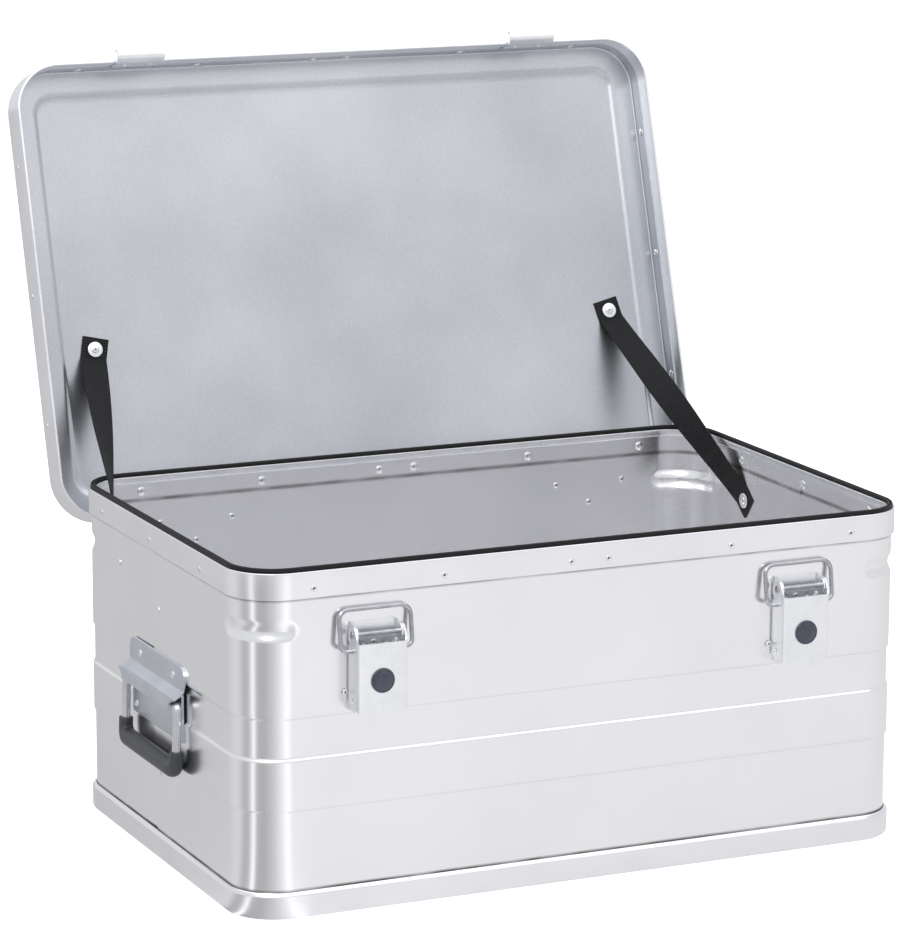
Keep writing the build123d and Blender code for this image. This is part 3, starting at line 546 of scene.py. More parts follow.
# Extruded EPDM seal: matt black with a soft sheen along its ribs.
seal_rubber, tree, shader = dull_finish("extruded_epdm_rubber", "#0C0D0F", "#050506", 0.5, 1.5, 0.02, IOR=1.5)
shader.inputs["Specular IOR Level"].default_value = 0.3
# Moulded soft PVC: charcoal, fine pebbled skin, broad dull highlights.
grip_pvc, tree, shader = dull_finish("moulded_soft_pvc", "#34373C", "#2A2D31", 0.45, 0.8, 0.04, IOR=1.53)
# Moulded glossy polyamide plug: dark blue-grey with a sharp highlight.
plug_nylon, tree, shader = dull_finish(
    "moulded_gloss_polyamide", "#3B3C4A", "#32333F", 0.12, 6, 0.005, IOR=1.53
)

# Woven polypropylene webbing: deep black ribs across the strap, each a row of yarn crowns. The colour is
# painted lighter on the crowns, a painted highlight, and darker in the hollows between them, painted shade.
# The ribs are drawn slightly coarser than real ones so that they show.
webbing, tree, shader = new_finish("woven_polypropylene_webbing", Roughness=0.6, IOR=1.49)
shader.inputs["Specular IOR Level"].default_value = 0.3
where = add_node(tree, "ShaderNodeUVMap", {"uv_map": "strap"}).outputs[0]
RIB_MM, YARN_MM = 2.4, 1.5
crowns_at = add_node(
    tree, "ShaderNodeMapping", Vector=where, Scale=(TURN / (RIB_MM * MM), TURN / (YARN_MM * MM), 1)
)
rib_and_yarn = add_node(tree, "ShaderNodeSeparateXYZ", Vector=crowns_at.outputs[0])
drift = add_node(tree, "ShaderNodeTexNoise", Vector=where, Scale=1 / (9 * MM), Detail=2.0)
shifted = add_node(
    tree, "ShaderNodeMath", {"operation": "MULTIPLY_ADD"}, _0=drift.outputs["Fac"], _1=2.5,
    _2=rib_and_yarn.outputs["X"]
)
rib_wave = add_node(tree, "ShaderNodeMath", {"operation": "SINE"}, _0=shifted.outputs[0])
yarn_wave = add_node(tree, "ShaderNodeMath", {"operation": "SINE"}, _0=rib_and_yarn.outputs["Y"])
crowns = add_node(
    tree, "ShaderNodeMath", {"operation": "MULTIPLY_ADD"}, _0=yarn_wave.outputs[0], _1=0.35,
    _2=rib_wave.outputs[0]
)
height = add_node(tree, "ShaderNodeMapRange", Value=crowns.outputs[0], From_Min=-1.35, From_Max=1.35)
# Painted highlight and painted shade: the weave's height turns the colour from near black in the hollows to
# dark grey on the crowns.
tone = add_node(
    tree, "ShaderNodeMix", {"data_type": "RGBA"}, _0=height.outputs[0], _6=linear("#010102"),
    _7=linear("#1D1E21")
)
tree.links.new(tone.outputs[2], shader.inputs["Base Color"])
weave_bump = add_node(tree, "ShaderNodeBump", Height=height.outputs[0], Distance=0.5 * MM, Strength=1.0)
tree.links.new(weave_bump.outputs[0], shader.inputs["Normal"])


# ------------------------------------------------------------------ body
def wall_depth(z):
    """How far the wall's face is inside its proudest level at each height: smooth steps."""
    low = STEP * (1 - smooth_step((z - 82.6) / 1.2))
    ledge = STEP * smooth_step((z - 121.9) / 3.0)
    high = STEP * smooth_step((z - 154.5) / 1.2)
    return low + ledge - high


BEAD_Z, BEAD_HALF, BEAD_DEPTH = 223.5, 8.5, 2.5
WALL_CORNER = CORNER - FLANGE


def shell_run(y_end, side):
    """Open run round one half of the wall, from -X at y_end, round the side's face, to +X at y_end."""
    x, y = WALL_X, side * WALL_Y
    edge_steps = np.array([0, 0.5, 1, 1.5, 2, 2.5, 3, 3.5, 4, 5, 8])
    corner_steps = np.array([0.01, 1, 2.5, 4.5, 7, 10, 14, 22, 40])
    leg = abs(y_end - side * (WALL_Y - WALL_CORNER))
    first = np.concatenate([edge_steps, leg - corner_steps[::-1]])
    start = np.stack([np.full(len(first), -x), y_end + side * first], -1)
    face_half = x - WALL_CORNER
    across = np.concatenate(
        [-face_half + corner_steps, np.linspace(-190, 190, 21), face_half - corner_steps[::-1]]
    )
    face = np.stack([across, np.full(len(across), y)], -1)
    a = np.linspace(0, pi / 2, 33)
    corner = np.stack([-np.cos(a), side * np.sin(a)], -1)
    left = np.array([-face_half, y - side * WALL_CORNER]) + WALL_CORNER * corner
    run = np.concatenate([start, left, face])
    normal = np.concatenate(
        [np.tile([-1.0, 0], (len(start), 1)), corner, np.tile([0.0, side], (len(face), 1))]
    )
    mirrored = np.stack([-left[::-1, 0], left[::-1, 1]], -1)
    flipped = np.stack([-corner[::-1, 0], corner[::-1, 1]], -1)
    run = np.concatenate([run, mirrored, np.stack([-start[::-1, 0], start[::-1, 1]], -1)])
    normal = np.concatenate([normal, flipped, np.tile([1.0, 0], (len(start), 1))])
    return run, normal


def bead_depth(run, side, z):
    """Round-ended groove in each corner: depth * cos^2 of the distance from its middle line."""
    face_half = WALL_X - WALL_CORNER
    dx = np.abs(run[:, 0]) - face_half
    dy = np.abs(run[:, 1]) - (WALL_Y - WALL_CORNER)
    quarter = WALL_CORNER * pi / 2
    angle = np.arctan2(np.maximum(dy, 0), np.maximum(dx, 1e-9))
    s = angle * WALL_CORNER + np.where(dy < 0, dy, 0) + np.where(dx < 0, -dx, 0)
    beyond = np.maximum(np.abs(s - quarter / 2) - (quarter / 2 - 5.0), 0)
    reach = np.sqrt(((z[:, None] - BEAD_Z) / BEAD_HALF) ** 2 + (beyond[None] / 9.0) ** 2)
    return BEAD_DEPTH * np.cos(np.clip(reach, 0, 1) * pi / 2) ** 1.4


def shell_half(side, y_end, tucked):
    """One U of wall sheet as a closed solid: outer face, top edge, inner face, bottom edge."""
    fine = np.linspace(0, 1, 7)
    z = np.concatenate(
        [
            [FOOT_TOP, 40, 80], 82.6 + 1.2 * fine, [86, 100, 119], 121.9 + 3.0 * fine, [128, 140, 153],
            154.5 + 1.2 * fine, [158, 180, 205, 213],
            np.linspace(BEAD_Z - BEAD_HALF, BEAD_Z + BEAD_HALF, 19), [234, 240, 250, HEAD_BOTTOM]
        ]
    )
    run, normal = shell_run(y_end, side)
    inward = wall_depth(z)[:, None] + bead_depth(run, side, z)
    if tucked:
        gone = side * (run[:, 1] - y_end)
        inward = inward + (SHEET + 0.05) * (1 - smooth_step((gone - 20.2) / 2.6))[None]
    outside = run[None] - normal[None] * inward[..., None]
    inside = run[None] - normal[None] * (inward[..., None] + SHEET)
    face = np.concatenate([outside, np.broadcast_to(z[:, None, None], inward.shape + (1,))], -1)
    back = np.concatenate([inside, np.broadcast_to(z[:, None, None], inward.shape + (1,))], -1)
    around = np.concatenate([face, back[::-1]])
    points, faces = grid_part(around, True, False)
    rows, columns = around.shape[:2]
    for column, reverse in ((0, False), (columns - 1, True)):
        strip = np.arange(len(z) - 1)
        far = rows - 1 - strip
        quads = np.stack([strip, strip + 1, far - 1, far], -1) * columns + column
        faces += (quads[:, ::-1] if reverse else quads).tolist()
    return points, faces


add_piece(
    "body_sheet_front", [shell_half(-1, 10.0, False)], rolled_sheet, "case",
    ["body_shell_front"]
)
add_piece(
    "body_sheet_back", [shell_half(1, -10.0, True)], rolled_sheet, "case", ["body_shell_back"]
)

base_outline = round_corners(
    [
        (0.9, 0), (3.5, 0), (3.5, 1.5), (15.5, 1.5), (15.5, 3.5), (3.5, 3.5), (3.5, BASE_TOP - 0.9),
        (3.0, BASE_TOP), (1.6, BASE_TOP), (0.0, BASE_TOP - 2.8), (0.0, 2.2)
    ],
    [0.8, 0.3, 0, 0.4, 0.4, 0, 0.3, 0.3, 1.2, 1.6, 1.4]
)
add_piece(
    "base_rail", [swept_ring(base_outline, HALF_X, HALF_Y, CORNER, 32)], extruded, "case",
    ["base_profile"]
)

rim_outline = round_corners(
    [
        (0, RIM_BOTTOM), (FLANGE, RIM_BOTTOM), (FLANGE, HEAD_BOTTOM), (6.5, HEAD_BOTTOM), (6.5, RIM_TOP),
        (5.5, RIM_TOP), (5.5, RIM_TOP - 1.5), (1.5, RIM_TOP - 1.5), (1.5, RIM_TOP), (0, RIM_TOP)
    ],
    [0.7, 0.1, 0, 0.5, 0.45, 0.15, 0, 0, 0.15, 0.7]
)
add_piece(
    "rim_rail", [swept_ring(rim_outline, HALF_X, HALF_Y, CORNER, 32)], extruded, "case",
    ["rim_profile"]
)

ribs_top = [
    (1.5 + 4.0 * t, 269.3 + 1.9 * abs(sin(pi * (2 * t))) ** 0.55) for t in np.linspace(0.02, 0.98, 25)
]
seal_outline = [(1.5, 266.5)] + [(1.5, 269.2)] + ribs_top + [(5.5, 269.2), (5.5, 266.5)]
add_piece(
    "rim_seal_ribbed", [swept_ring(seal_outline, HALF_X, HALF_Y, CORNER, 32)], seal_rubber, "case",
    ["rim_seal"], sharp=60
)

# ------------------------------------------------------------------ lid
frame_outline = round_corners(
    [(0, LID_BOTTOM), (2.0, LID_BOTTOM), (2.0, 272.5), (5.0, 272.5), (5.0, LID_TOP), (0, LID_TOP)],
    [0.9, 0.5, 0, 0.4, 0.4, 1.5]
)
add_piece(
    "lid_edge_rail", [swept_ring(frame_outline, LID_X, LID_Y, LID_CORNER, 32)], extruded, "lid",
    ["lid_frame"], lid=True
)


def lid_panel_part():
    """Lid sheet: flange, round bend, flat border, S-shaped rise and a slightly crowned middle."""
    a = np.linspace(0, pi / 2, 7)
    flange = [(2.0, 258.1), (2.0, 265.0)]
    bend = [(4.4 - 2.4 * cos(t), 270.1 + 2.4 * sin(t)) for t in a]
    border = [(10.0, 272.5), (19.0, 272.5)]
    rise = [(21.0 + 5.0 * t, 272.5 + 1.95 * float(smooth_step(t))) for t in np.linspace(0, 1, 8)]
    middle = [(30.0, 274.45), (36.0, 274.45)]
    outer = np.array(flange + bend + border + rise + middle)
    ahead = np.gradient(outer, axis=0)
    normal = unit(np.stack([ahead[:, 1], -ahead[:, 0]], -1))
    inner = outer + normal * SHEET
    inner[0, 1], inner[-1, 0] = 258.1, 36.0
    outline = np.concatenate([outer, inner[::-1]])
    run, out = rounded_run(LID_X, LID_Y, LID_CORNER, 32)
    across = run[None] - out[None] * outline[:, None, :1]
    height = np.broadcast_to(outline[:, None, 1:], across.shape[:2] + (1,))
    points, faces = grid_part(np.concatenate([across, height], -1), False, True)
    columns, last = len(run), len(outer) - 1
    faces = [f for f in faces if f[0] // columns != last]
    strip = np.arange(columns)
    after = (strip + 1) % columns
    bottom_row = (len(outline) - 1) * columns
    faces += np.stack([strip, bottom_row + strip, bottom_row + after, after], -1).tolist()
    faces.append((last * columns + strip).tolist())
    faces.append(((last + 1) * columns + strip[::-1]).tolist())
    return points, faces


add_piece("lid_panel_sheet", [lid_panel_part()], lid_sheet, "lid", ["lid_panel"], lid=True)

# ------------------------------------------------------------------ rivets
def riveted(grip, head=3.3, tail=2.5, rise=1.1, beyond=1.0):
    """Profile of a set rivet: tail with its drilled end, shank, then a low dome with a hollow middle."""
    low = -grip - beyond
    foot = [(0.75, low + 0.45), (0.85, low + 0.05), (1.5, low), (tail - 0.35, low + 0.15)]
    foot += [(tail, low + 0.45 * beyond), (tail, -grip), (1.6, -grip), (1.6, 0.0)]
    dome = [(head * cos(a), rise * (0.1 + 0.9 * sin(a))) for a in np.radians([0, 14, 28, 42, 56, 66])]
    return foot + [(head - 0.05, 0.0)] + dome + [(1.25, 0.93 * rise), (1.0, 0.5 * rise), (0.8, 0.45 * rise)]


def blind_riveted(grip):
    """The same rivet set from inside: the dome is past the grip and a low burred end is outside."""
    inside = [(r, -grip - h) for r, h in riveted(grip, 3.6)[9:]][::-1]
    outside = [(1.6, -grip), (1.6, 0.0), (2.5, 0.0), (2.45, 0.28), (2.2, 0.46), (1.75, 0.5), (1.35, 0.44)]
    return inside + outside + [(1.15, 0.2), (1.0, 0.06)]


def face_places(columns, rows, x_out, y_out, z):
    """Places along the long faces at each column and down the short faces at each row."""
    long_faces = [((s * x, t * y_out, z), (0, t, 0)) for x in columns for s in (-1, 1) for t in (-1, 1)]
    return long_faces + [((s * x_out, y, z), (s, 0, 0)) for s in (-1, 1) for y in rows(s)]


COLUMNS = (15.8, 122.5, 229.0)
SIDE_PITCH = 108.0
rim_places = face_places(
    COLUMNS, lambda s: [k * SIDE_PITCH - s * 13.2 for k in (-1, 0, 1)], HALF_X, HALF_Y, RIM_TOP - 13.3
)
lid_places = face_places(
    COLUMNS, lambda s: [k * SIDE_PITCH for k in (-1, 0, 1)], LID_X, LID_Y, LID_TOP - 10.1
)
seam_places = [((s * (WALL_X - d), 0, z), (s, 0, 0)) for s in (-1, 1) for d, z in ((STEP, 70.0), (0, 201.0))]
hinge_body_places = [
    ((s * HINGE_X + dx, WALL_Y + 1.5, z), (0, 1, 0))
    for s in (-1, 1)
    for dx, z in ((-31.5, 226.8), (31.5, 226.8), (0, 209.5))
]
hinge_lid_places = [
    ((s * HINGE_X + dx, LID_Y + 1.5, LID_TOP - 10.1), (0, 1, 0)) for s in (-1, 1) for dx in (-24, 0, 24)
]
latch_places = [
    ((s * LATCH_X + dx, -WALL_Y - 1.5, z), (0, -1, 0))
    for s in (-1, 1)
    for dx, z in ((-23.0, 172.0), (23.0, 172.0), (0, 208.8))
]
striker_places = [
    ((s * LATCH_X + dx, 3.5 - LID_Y, LID_BOTTOM + 7.0), (0, 1, 0)) for s in (-1, 1) for dx in (-11.5, 11.5)
]
handle_places = [
    ((s * (WALL_X + 2.0), t * y, z), (s, 0, 0))
    for s in (-1, 1)
    for t in (-1, 1)
    for y, z in ((36.0, 158.0), (45.0, 115.0))
]
STRAP_T, WASHER_T, STRAP_GAP = 1.6, 1.0, 0.3
LOW_ANCHOR = np.array([WALL_X - SHEET - STRAP_T - WASHER_T, 86.4, 221.0])
HIGH_ANCHOR = np.array([239.0, 46.7, LID_TOP - STRAP_T - WASHER_T - 2 * STRAP_GAP])
low_strap_places = [(LOW_ANCHOR * (s, 1, 1), (-s, 0, 0)) for s in (-1, 1)]
high_strap_places = [(HIGH_ANCHOR * (s, 1, 1), (0, 0, -1)) for s in (-1, 1)]

for name, places, profile, body in (
    ("rim_rivets", rim_places, blind_riveted(3.1), "case"),
    ("lid_rivets", lid_places, blind_riveted(3.0), "lid"),
    ("seam_rivets", seam_places, riveted(2.0), "case"),
    ("hinge_body_rivets", hinge_body_places, riveted(2.5), "case"),
    ("hinge_lid_rivets", hinge_lid_places, riveted(4.5), "lid"),
    ("latch_base_rivets", latch_places, riveted(2.5, 2.4, rise=0.6), "case"),
    ("striker_rivets", striker_places, riveted(3.5, 2.8), "lid"),
    ("handle_rivets", handle_places, riveted(3.0, 3.3, 2.1), "case"),
    ("strap_lower_rivets", low_strap_places, riveted(3.6), "case"),
    ("strap_upper_rivets", high_strap_places, riveted(4.2), "lid"),
):
    add_piece(
        name + "_set", [turned(profile, places)], rivet_finish, body, [name], lid=body == "lid",
        sharp=50, core=mandrel_steel
    )

WASHER = [(1.7, -1.0), (6.2, -1.0), (6.5, -0.75), (6.5, -0.35), (6.3, -0.1), (5.9, 0.0), (1.7, 0.0)]
for name, places, body in (
    ("strap_lower_washers", low_strap_places, "case"), ("strap_upper_washers", high_strap_places, "lid")
):
    add_piece(
        name + "_turned", [turned(WASHER, places, 36)], zinc_plate, body, [name],
        lid=body == "lid", sharp=50
    )


# ------------------------------------------------------------------ hinges
def at_back(y, z, x):
    """Point of a piece that is bent in side view: depth y and height z, at x along the case."""
    return np.stack([x, y, z], -1)


def bent_part(line, outline, holes, thickness, put):
    """Sheet bent along a flat line: the pattern runs with the line one way and straight across it."""
    reach = distances(line)
    flat, triangles = cut_sheet(outline, holes, reach[1:-1])

    def place(u, v, depth):
        """Pattern to space: u along the bent line, v straight across it, depth into the sheet."""
        point, left = along_line(line, u)
        point = point + left * (thickness / 2 - depth)
        return put(point[:, 0], point[:, 1], v)

    return sheet_part(flat, triangles, place, thickness)


CURL = 2.7


def body_leaf_part(x):
    """Leaf on the wall: tapered foot, flat plate, and its top edge rolled round the pin at each end."""
    face = WALL_Y + 0.75
    rolled = arc(HINGE_Y, HINGE_Z, CURL, 180, -120, 24)
    line = np.concatenate([[(face, 201.0), (face, 231.0)], rolled])
    top = line_length(line)
    half = np.concatenate(
        [
            round_corners(
                [(0, 0), (0, 12.0), (17.8, 42.0), (top, 42.0), (top, 13.9)], [0, 4, 4, 0.3, 0.3]
            )[1:],
            round_corners([(top, 13.9), (30.8, 13.9), (30.8, 0)], [0, 1, 0], closed=False)[1:-1]
        ]
    )
    outline = np.concatenate([half, half[::-1] * (1, -1)])
    return bent_part(line, outline, (), 1.4, lambda y, z, v: at_back(y, z, x + v))


def lid_leaf_part(x):
    """Leaf on the lid: rolled middle knuckle, a joggle out to the lid's face, and a wide plate."""
    rolled = arc(HINGE_Y, HINGE_Z, CURL, 120, 360, 22)
    rise = round_corners(
        [(HINGE_Y + CURL, HINGE_Z), (HINGE_Y + CURL, 240.8), (LID_Y + 0.75, 244.6), (LID_Y + 0.75, 269.5)],
        [0, 2, 2, 0], closed=False
    )
    line = np.concatenate([rolled, rise[1:]])
    top = line_length(line)
    wide = top - 23.4
    half = np.concatenate(
        [
            round_corners(
                [(0, 0), (0, 13.6), (wide, 13.6), (wide, 32.0)], [0, 0.4, 2, 0], closed=False
            )[1:-1],
            round_corners(
                [(wide, 13.6), (wide, 32.0), (top, 32.0), (top, 0)], [0, 3, 5, 0], closed=False
            )[1:-1]
        ]
    )
    outline = np.concatenate([half, half[::-1] * (1, -1)])
    return bent_part(line, outline, (), 1.4, lambda y, z, v: at_back(y, z, x + v))


for name, s in SIDES:
    x = s * HINGE_X
    add_piece(
        f"hinge_leaf_body_{name}_rolled", [body_leaf_part(x)], zinc_plate, "case",
        [f"hinge_leaf_body_{name}"], bevel=0.2
    )
    add_piece(
        f"hinge_leaf_lid_{name}_rolled", [lid_leaf_part(x)], zinc_plate, "lid",
        [f"hinge_leaf_lid_{name}"], lid=True, bevel=0.2
    )
    pin = [(1.2, -42.0), (1.8, -41.8), (2.0, -41.3), (2.0, 41.3), (1.8, 41.8), (1.2, 42.0)]
    add_piece(
        f"hinge_pin_{name}_turned", [turned(pin, [((x, HINGE_Y, HINGE_Z), (1, 0, 0))])], nickel_wire,
        "case", [f"hinge_pin_{name}"]
    )


# ------------------------------------------------------------------ latches
PLATE, LEVER_T, LEVER_FRONT, LEVER_HALF = 1.5, 1.2, 19.2, 20.5
EAR_INSIDE, HOLE_Z, HOLE_R = 17.6, 208.8, 2.6


def at_front(x, out, z):
    """Point in front of the front wall; out is the distance from it."""
    return np.stack(np.broadcast_arrays(x, -WALL_Y - out, z), -1)


def latch_plate(x):
    """Pressed plate with two ears folded forward round a small bend, round holes and foot notches.

    Past the bend's start the pattern turns about the bend's centre: centre + (bend + depth) * (sin, -cos).
    """
    bend = 1.0
    start = EAR_INSIDE - bend
    roll = bend * pi / 2
    eye = PIN_OUT + start + roll - PLATE - bend
    half = np.concatenate(
        [
            round_corners(
                [(0, 157.5), (26.5, 157.5), (26.5, 206.2), (18.4, 206.2)], [0, 2, 2, 0], closed=False
            )[1:],
            arc(18.4, HOLE_Z, HOLE_R, -90, -270, 10)[1:], arc(eye, PIN_Z, 6.5, -90, 70, 14),
            round_corners([(eye, 224), (20.0, 226.0), (0, 226.0)], [0, 5, 0], closed=False)[1:-1]
        ]
    )
    outline = np.concatenate([half, half[::-1] * (-1, 1)])
    holes = [circle(t * 9.2, HOLE_Z, HOLE_R) for t in (-1, 1)]
    holes += [circle(t * eye, PIN_Z, 1.95) for t in (-1, 1)]
    folds = [t * (start + roll * k / 5) for t in (-1, 1) for k in range(6)]
    flat, triangles = cut_sheet(outline, holes, folds)

    def place(u, v, depth):
        """Pattern to space, by the formula above past the start of the turn and flat before it."""
        s = np.abs(u) - start
        turn = np.clip(s / bend, 0, pi / 2)
        across = np.where(s < 0, np.abs(u), start + (bend + depth) * np.sin(turn))
        out = PLATE + bend - (bend + depth) * np.cos(turn) + np.maximum(s - roll, 0)
        return at_front(x + np.sign(u) * across, out, v)

    return sheet_part(flat, triangles, place, PLATE)


def latch_lever_part(x):
    """Folded lever: front with a tapered tip, and sides folded back that rise into round eyes.

    Past the fold's start the pattern turns about the fold's centre: centre + (fold - depth) * (sin, cos).
    """
    fold = 2.2
    start = LEVER_HALF - fold
    roll = fold * pi / 2
    unrolled = start + roll + LEVER_FRONT - fold
    eye = unrolled - PIN_OUT
    back = unrolled - 2.6
    low = round_corners(
        [(0, 155.2), (9.5, 155.2), (start + roll, 160.4), (back, 162.4), (back, 214.0)],
        [0, 3.5, 4, 3.5, 0], closed=False
    )[1:-1]
    high = round_corners(
        [(eye - 6.0, 221.6), (start + roll - 0.6, 214.5), (start + 0.4, 212.0), (0, 212.0)], [0, 3, 1.2, 0],
        closed=False
    )[1:-1]
    half = np.concatenate([low, arc(eye, PIN_Z, 6.8, -33, 142, 16), high])
    outline = np.concatenate([half, half[::-1] * (-1, 1)])
    drop = np.concatenate([arc(0, 0, 2.1, -200, 20, 12), [(0.5, 3.9), (-0.5, 3.9)]])
    holes = [circle(0, 183.2, 8.25, 40)]
    for t in (-1, 1):
        holes += [circle(t * eye, PIN_Z, 1.95), circle(t * (unrolled - 8.2), 205.0, 1.85)]
        holes.append(drop + (t * eye, 166.9))
    folds = [t * (start + roll * k / 7) for t in (-1, 1) for k in range(8)]
    flat, triangles = cut_sheet(outline, holes, folds)

    def place(u, v, depth):
        """Pattern to space, by the formula above past the start of the turn and flat before it."""
        s = np.abs(u) - start
        turn = np.clip(s / fold, 0, pi / 2)
        across = np.where(s < 0, np.abs(u), start + (fold - depth) * np.sin(turn))
        out = LEVER_FRONT - fold + (fold - depth) * np.cos(turn) - np.maximum(s - roll, 0)
        return at_front(x + np.sign(u) * across, out, v)

    return sheet_part(flat, triangles, place, LEVER_T)


def latch_bail_part(x):
    """Round wire along a flat loop whose ends turn in to the lever's sides."""
    corners = [(-18.3, 8.2, 205.0), (-29.2, 8.2, 205.0), (-29.2, 3.2, 236.0)]
    corners += [(-a, b, c) for a, b, c in corners[::-1]]
    line = round_corners(corners, [0, 5, 8, 8, 5, 0], 8, closed=False)
    return bar(at_front(x + line[:, 0], line[:, 1], line[:, 2]), 1.75, (0, -31.0, 5.0), 18)


PLUG = [
    (7.2, -5.0), (8.0, -4.9), (8.2, -4.5), (8.2, -0.02), (9.5, -0.02), (9.6, 0.5), (9.45, 1.0), (9.05, 1.4)
]
PLUG += [(8.6, 1.45), (8.2, 1.3), (7.9, 1.15), (7.5, 1.3), (6.8, 1.75), (5.6, 2.3), (4.2, 2.7), (2.7, 2.92)]
PLUG += [(1.3, 2.99), (0.3, 3.0)]
LATCH_PIN = [(1.0, -21.0), (2.3, -21.25), (2.8, -21.1), (2.9, -20.85), (2.85, -20.6), (1.9, -20.58), (1.9, 0)]
LATCH_PIN += [(r, -h) for r, h in LATCH_PIN[-2::-1]]

for name, s in SIDES:
    x = s * LATCH_X
    add_piece(
        f"latch_base_{name}_pressed", [latch_plate(x)], zinc_plate, "case",
        [f"latch_base_{name}"], bevel=0.2
    )
    add_piece(
        f"latch_lever_{name}_folded", [latch_lever_part(x)], zinc_plate, f"latch_lever_{name}",
        [f"latch_lever_{name}"], bevel=0.2
    )
    add_piece(
        f"latch_bail_{name}_wire", [latch_bail_part(x)], nickel_wire, f"latch_bail_{name}",
        [f"latch_bail_{name}"], sharp=50
    )
    add_piece(
        f"latch_plug_{name}_domed", [turned(PLUG, [((x, -WALL_Y - LEVER_FRONT, 183.2), (0, -1, 0))], 48)],
        plug_nylon, f"latch_lever_{name}", [f"latch_plug_{name}"]
    )
    add_piece(
        f"latch_pin_{name}_riveted", [turned(LATCH_PIN, [((x, -WALL_Y - PIN_OUT, PIN_Z), (1, 0, 0))], 28)],
        nickel_wire, "case", [f"latch_pin_{name}"]
    )


def striker_part(x):
    """Plate curled into a hook below the lid: a sheet bent along its side view."""
    line = round_corners(
        [(-188.0, 257.1), (-188.0, 242.6), (-192.0, 237.05), (-198.2, 237.05), (-198.2, 243.05)],
        [0, 2.5, 2.5, 2.5, 0], 7, closed=False
    )
    long = line_length(line)
    outline = round_corners([(0, -21.0), (long, -21.0), (long, 21.0), (0, 21.0)], [3, 2, 2, 3])
    return bent_part(line, outline, (), 1.5, lambda y, z, v: at_back(y, z, x + v))


for name, s in SIDES:
    add_piece(
        f"striker_{name}_hooked", [striker_part(s * LATCH_X)], zinc_plate, "lid",
        [f"striker_{name}"], lid=True, bevel=0.2
    )


# ------------------------------------------------------------------ handles
def at_side(s, out, y, z):
    """Point beside a short wall; out is the distance from it."""
    return np.stack(np.broadcast_arrays(s * (WALL_X + out), y, z), -1)


def bracket_part(s):
    """Extruded section with a hooked ledge; its ends are cut back by height as half(z) says."""
    section = round_corners(
        [
            (0, 107.5), (2.0, 107.5), (2.0, 147.4), (10.5, 141.9), (10.5, 134.5), (12.5, 134.5),
            (12.5, 144.5), (11.6, 144.5), (9.9, 143.6), (2.0, 149.3), (2.0, 168.3), (0, 168.3)
        ],
        [0.2, 0.6, 1.5, 1.2, 0.7, 0.7, 0.5, 0.4, 1.2, 1.5, 0.7, 0.2], 4
    )
    section = split_at(
        section, [139.0, 146.8] + [168.3 - 10 * (1 - sin(a)) for a in np.radians(range(0, 90, 9))], 1
    )
    out, z = section[:, 0], section[:, 1]
    crown = 50.0 + np.sqrt(np.maximum(100 - np.maximum(z - 158.3, 0) ** 2, 0))
    lip = 51.4 + 7.4 * smooth_step((z - 138.6) / 5.4)
    low = 54.0 + (crown - 54.0) * smooth_step((z - 146.8) / 2.4)
    half = np.where(out > 2.4, np.where(z > 149.0, crown, lip), low)
    flat, triangles = cut_sheet(section)
    near = [int(np.argmin(np.sum((section - p) ** 2, 1))) for p in flat]
    half = half[near]
    ends = [at_side(s, flat[:, 0], t * half, flat[:, 1]) for t in (-1, 1)]
    count = len(flat)
    order = [int(np.argmin(np.sum((flat - p) ** 2, 1))) for p in section]
    loop = np.stack([order, np.roll(order, -1)], -1)
    faces = triangles.tolist() + (triangles[:, ::-1] + count).tolist()
    faces += [[b, a, a + count, b + count] for a, b in loop.tolist()]
    return np.concatenate(ends), faces


HANDLE_OUT, HANDLE_Z, HANDLE_Y, DROP = 6.2, 138.6, 56.0, 51.4
LEAN = atan2(7.2 + 0.6 - HANDLE_OUT, DROP)


def leaned(s, y, z):
    """Point of the handle's flat loop, swung out about its top bar by the small lean."""
    below = HANDLE_Z - z
    return at_side(s, HANDLE_OUT + below * sin(LEAN), y, HANDLE_Z - below * cos(LEAN))


def handle_wire_part(s):
    """Closed loop of round wire: a rounded rectangle, tighter at the top corners."""
    low = HANDLE_Z - DROP
    corners = [(HANDLE_Y, HANDLE_Z), (-HANDLE_Y, HANDLE_Z), (-HANDLE_Y, low), (HANDLE_Y, low)]
    line = round_corners(corners, [5, 5, 9, 9], 10)
    line = split_at(line, (-40, -20, 0, 20, 40), 0)
    return bar(leaned(s, line[:, 0], line[:, 1]), 3.5, (s * cos(LEAN), 0, sin(LEAN)), 22, closed=True)


def handle_grip_part(s):
    """Moulded grip: sleeves on the legs swell round the corners into a thicker bar with soft flats."""
    low = HANDLE_Z - DROP
    top = low + 15.0
    corners = [(HANDLE_Y, top), (HANDLE_Y, low), (-HANDLE_Y, low), (-HANDLE_Y, top)]
    line = round_corners(corners, [0, 9, 9, 0], 14, closed=False)
    line = split_line(line, 2.5)
    reach = distances(line)
    total = reach[-1]
    from_end = np.minimum(reach, total - reach)
    extra = np.array([0.0, 0.15, 0.5])
    want = np.unique(np.concatenate([extra, total - extra, reach[(from_end > 1.0)]]))
    line = np.stack([np.interp(want, reach, line[:, k]) for k in (0, 1)], -1)
    from_end = np.minimum(want, total - want)
    radius = 5.6 + 1.6 * smooth_step((from_end - 6.0) / 14.0)
    radius = np.where(from_end < 0.1, 4.6, np.where(from_end < 0.3, 5.3, radius))
    return bar(leaned(s, line[:, 0], line[:, 1]), radius, (s * cos(LEAN), 0, sin(LEAN)), 32)


for name, s in SIDES:
    add_piece(
        f"handle_bracket_{name}_extruded", [bracket_part(s)], bracket_finish, "case",
        [f"handle_bracket_{name}"], sharp=30
    )
    add_piece(
        f"handle_bail_{name}_wire", [handle_wire_part(s)], handle_wire, f"handle_{name}",
        [f"handle_bail_{name}"]
    )
    add_piece(
        f"handle_grip_{name}_moulded", [handle_grip_part(s)], grip_pvc, f"handle_{name}",
        [f"handle_grip_{name}"], sharp=50
    )


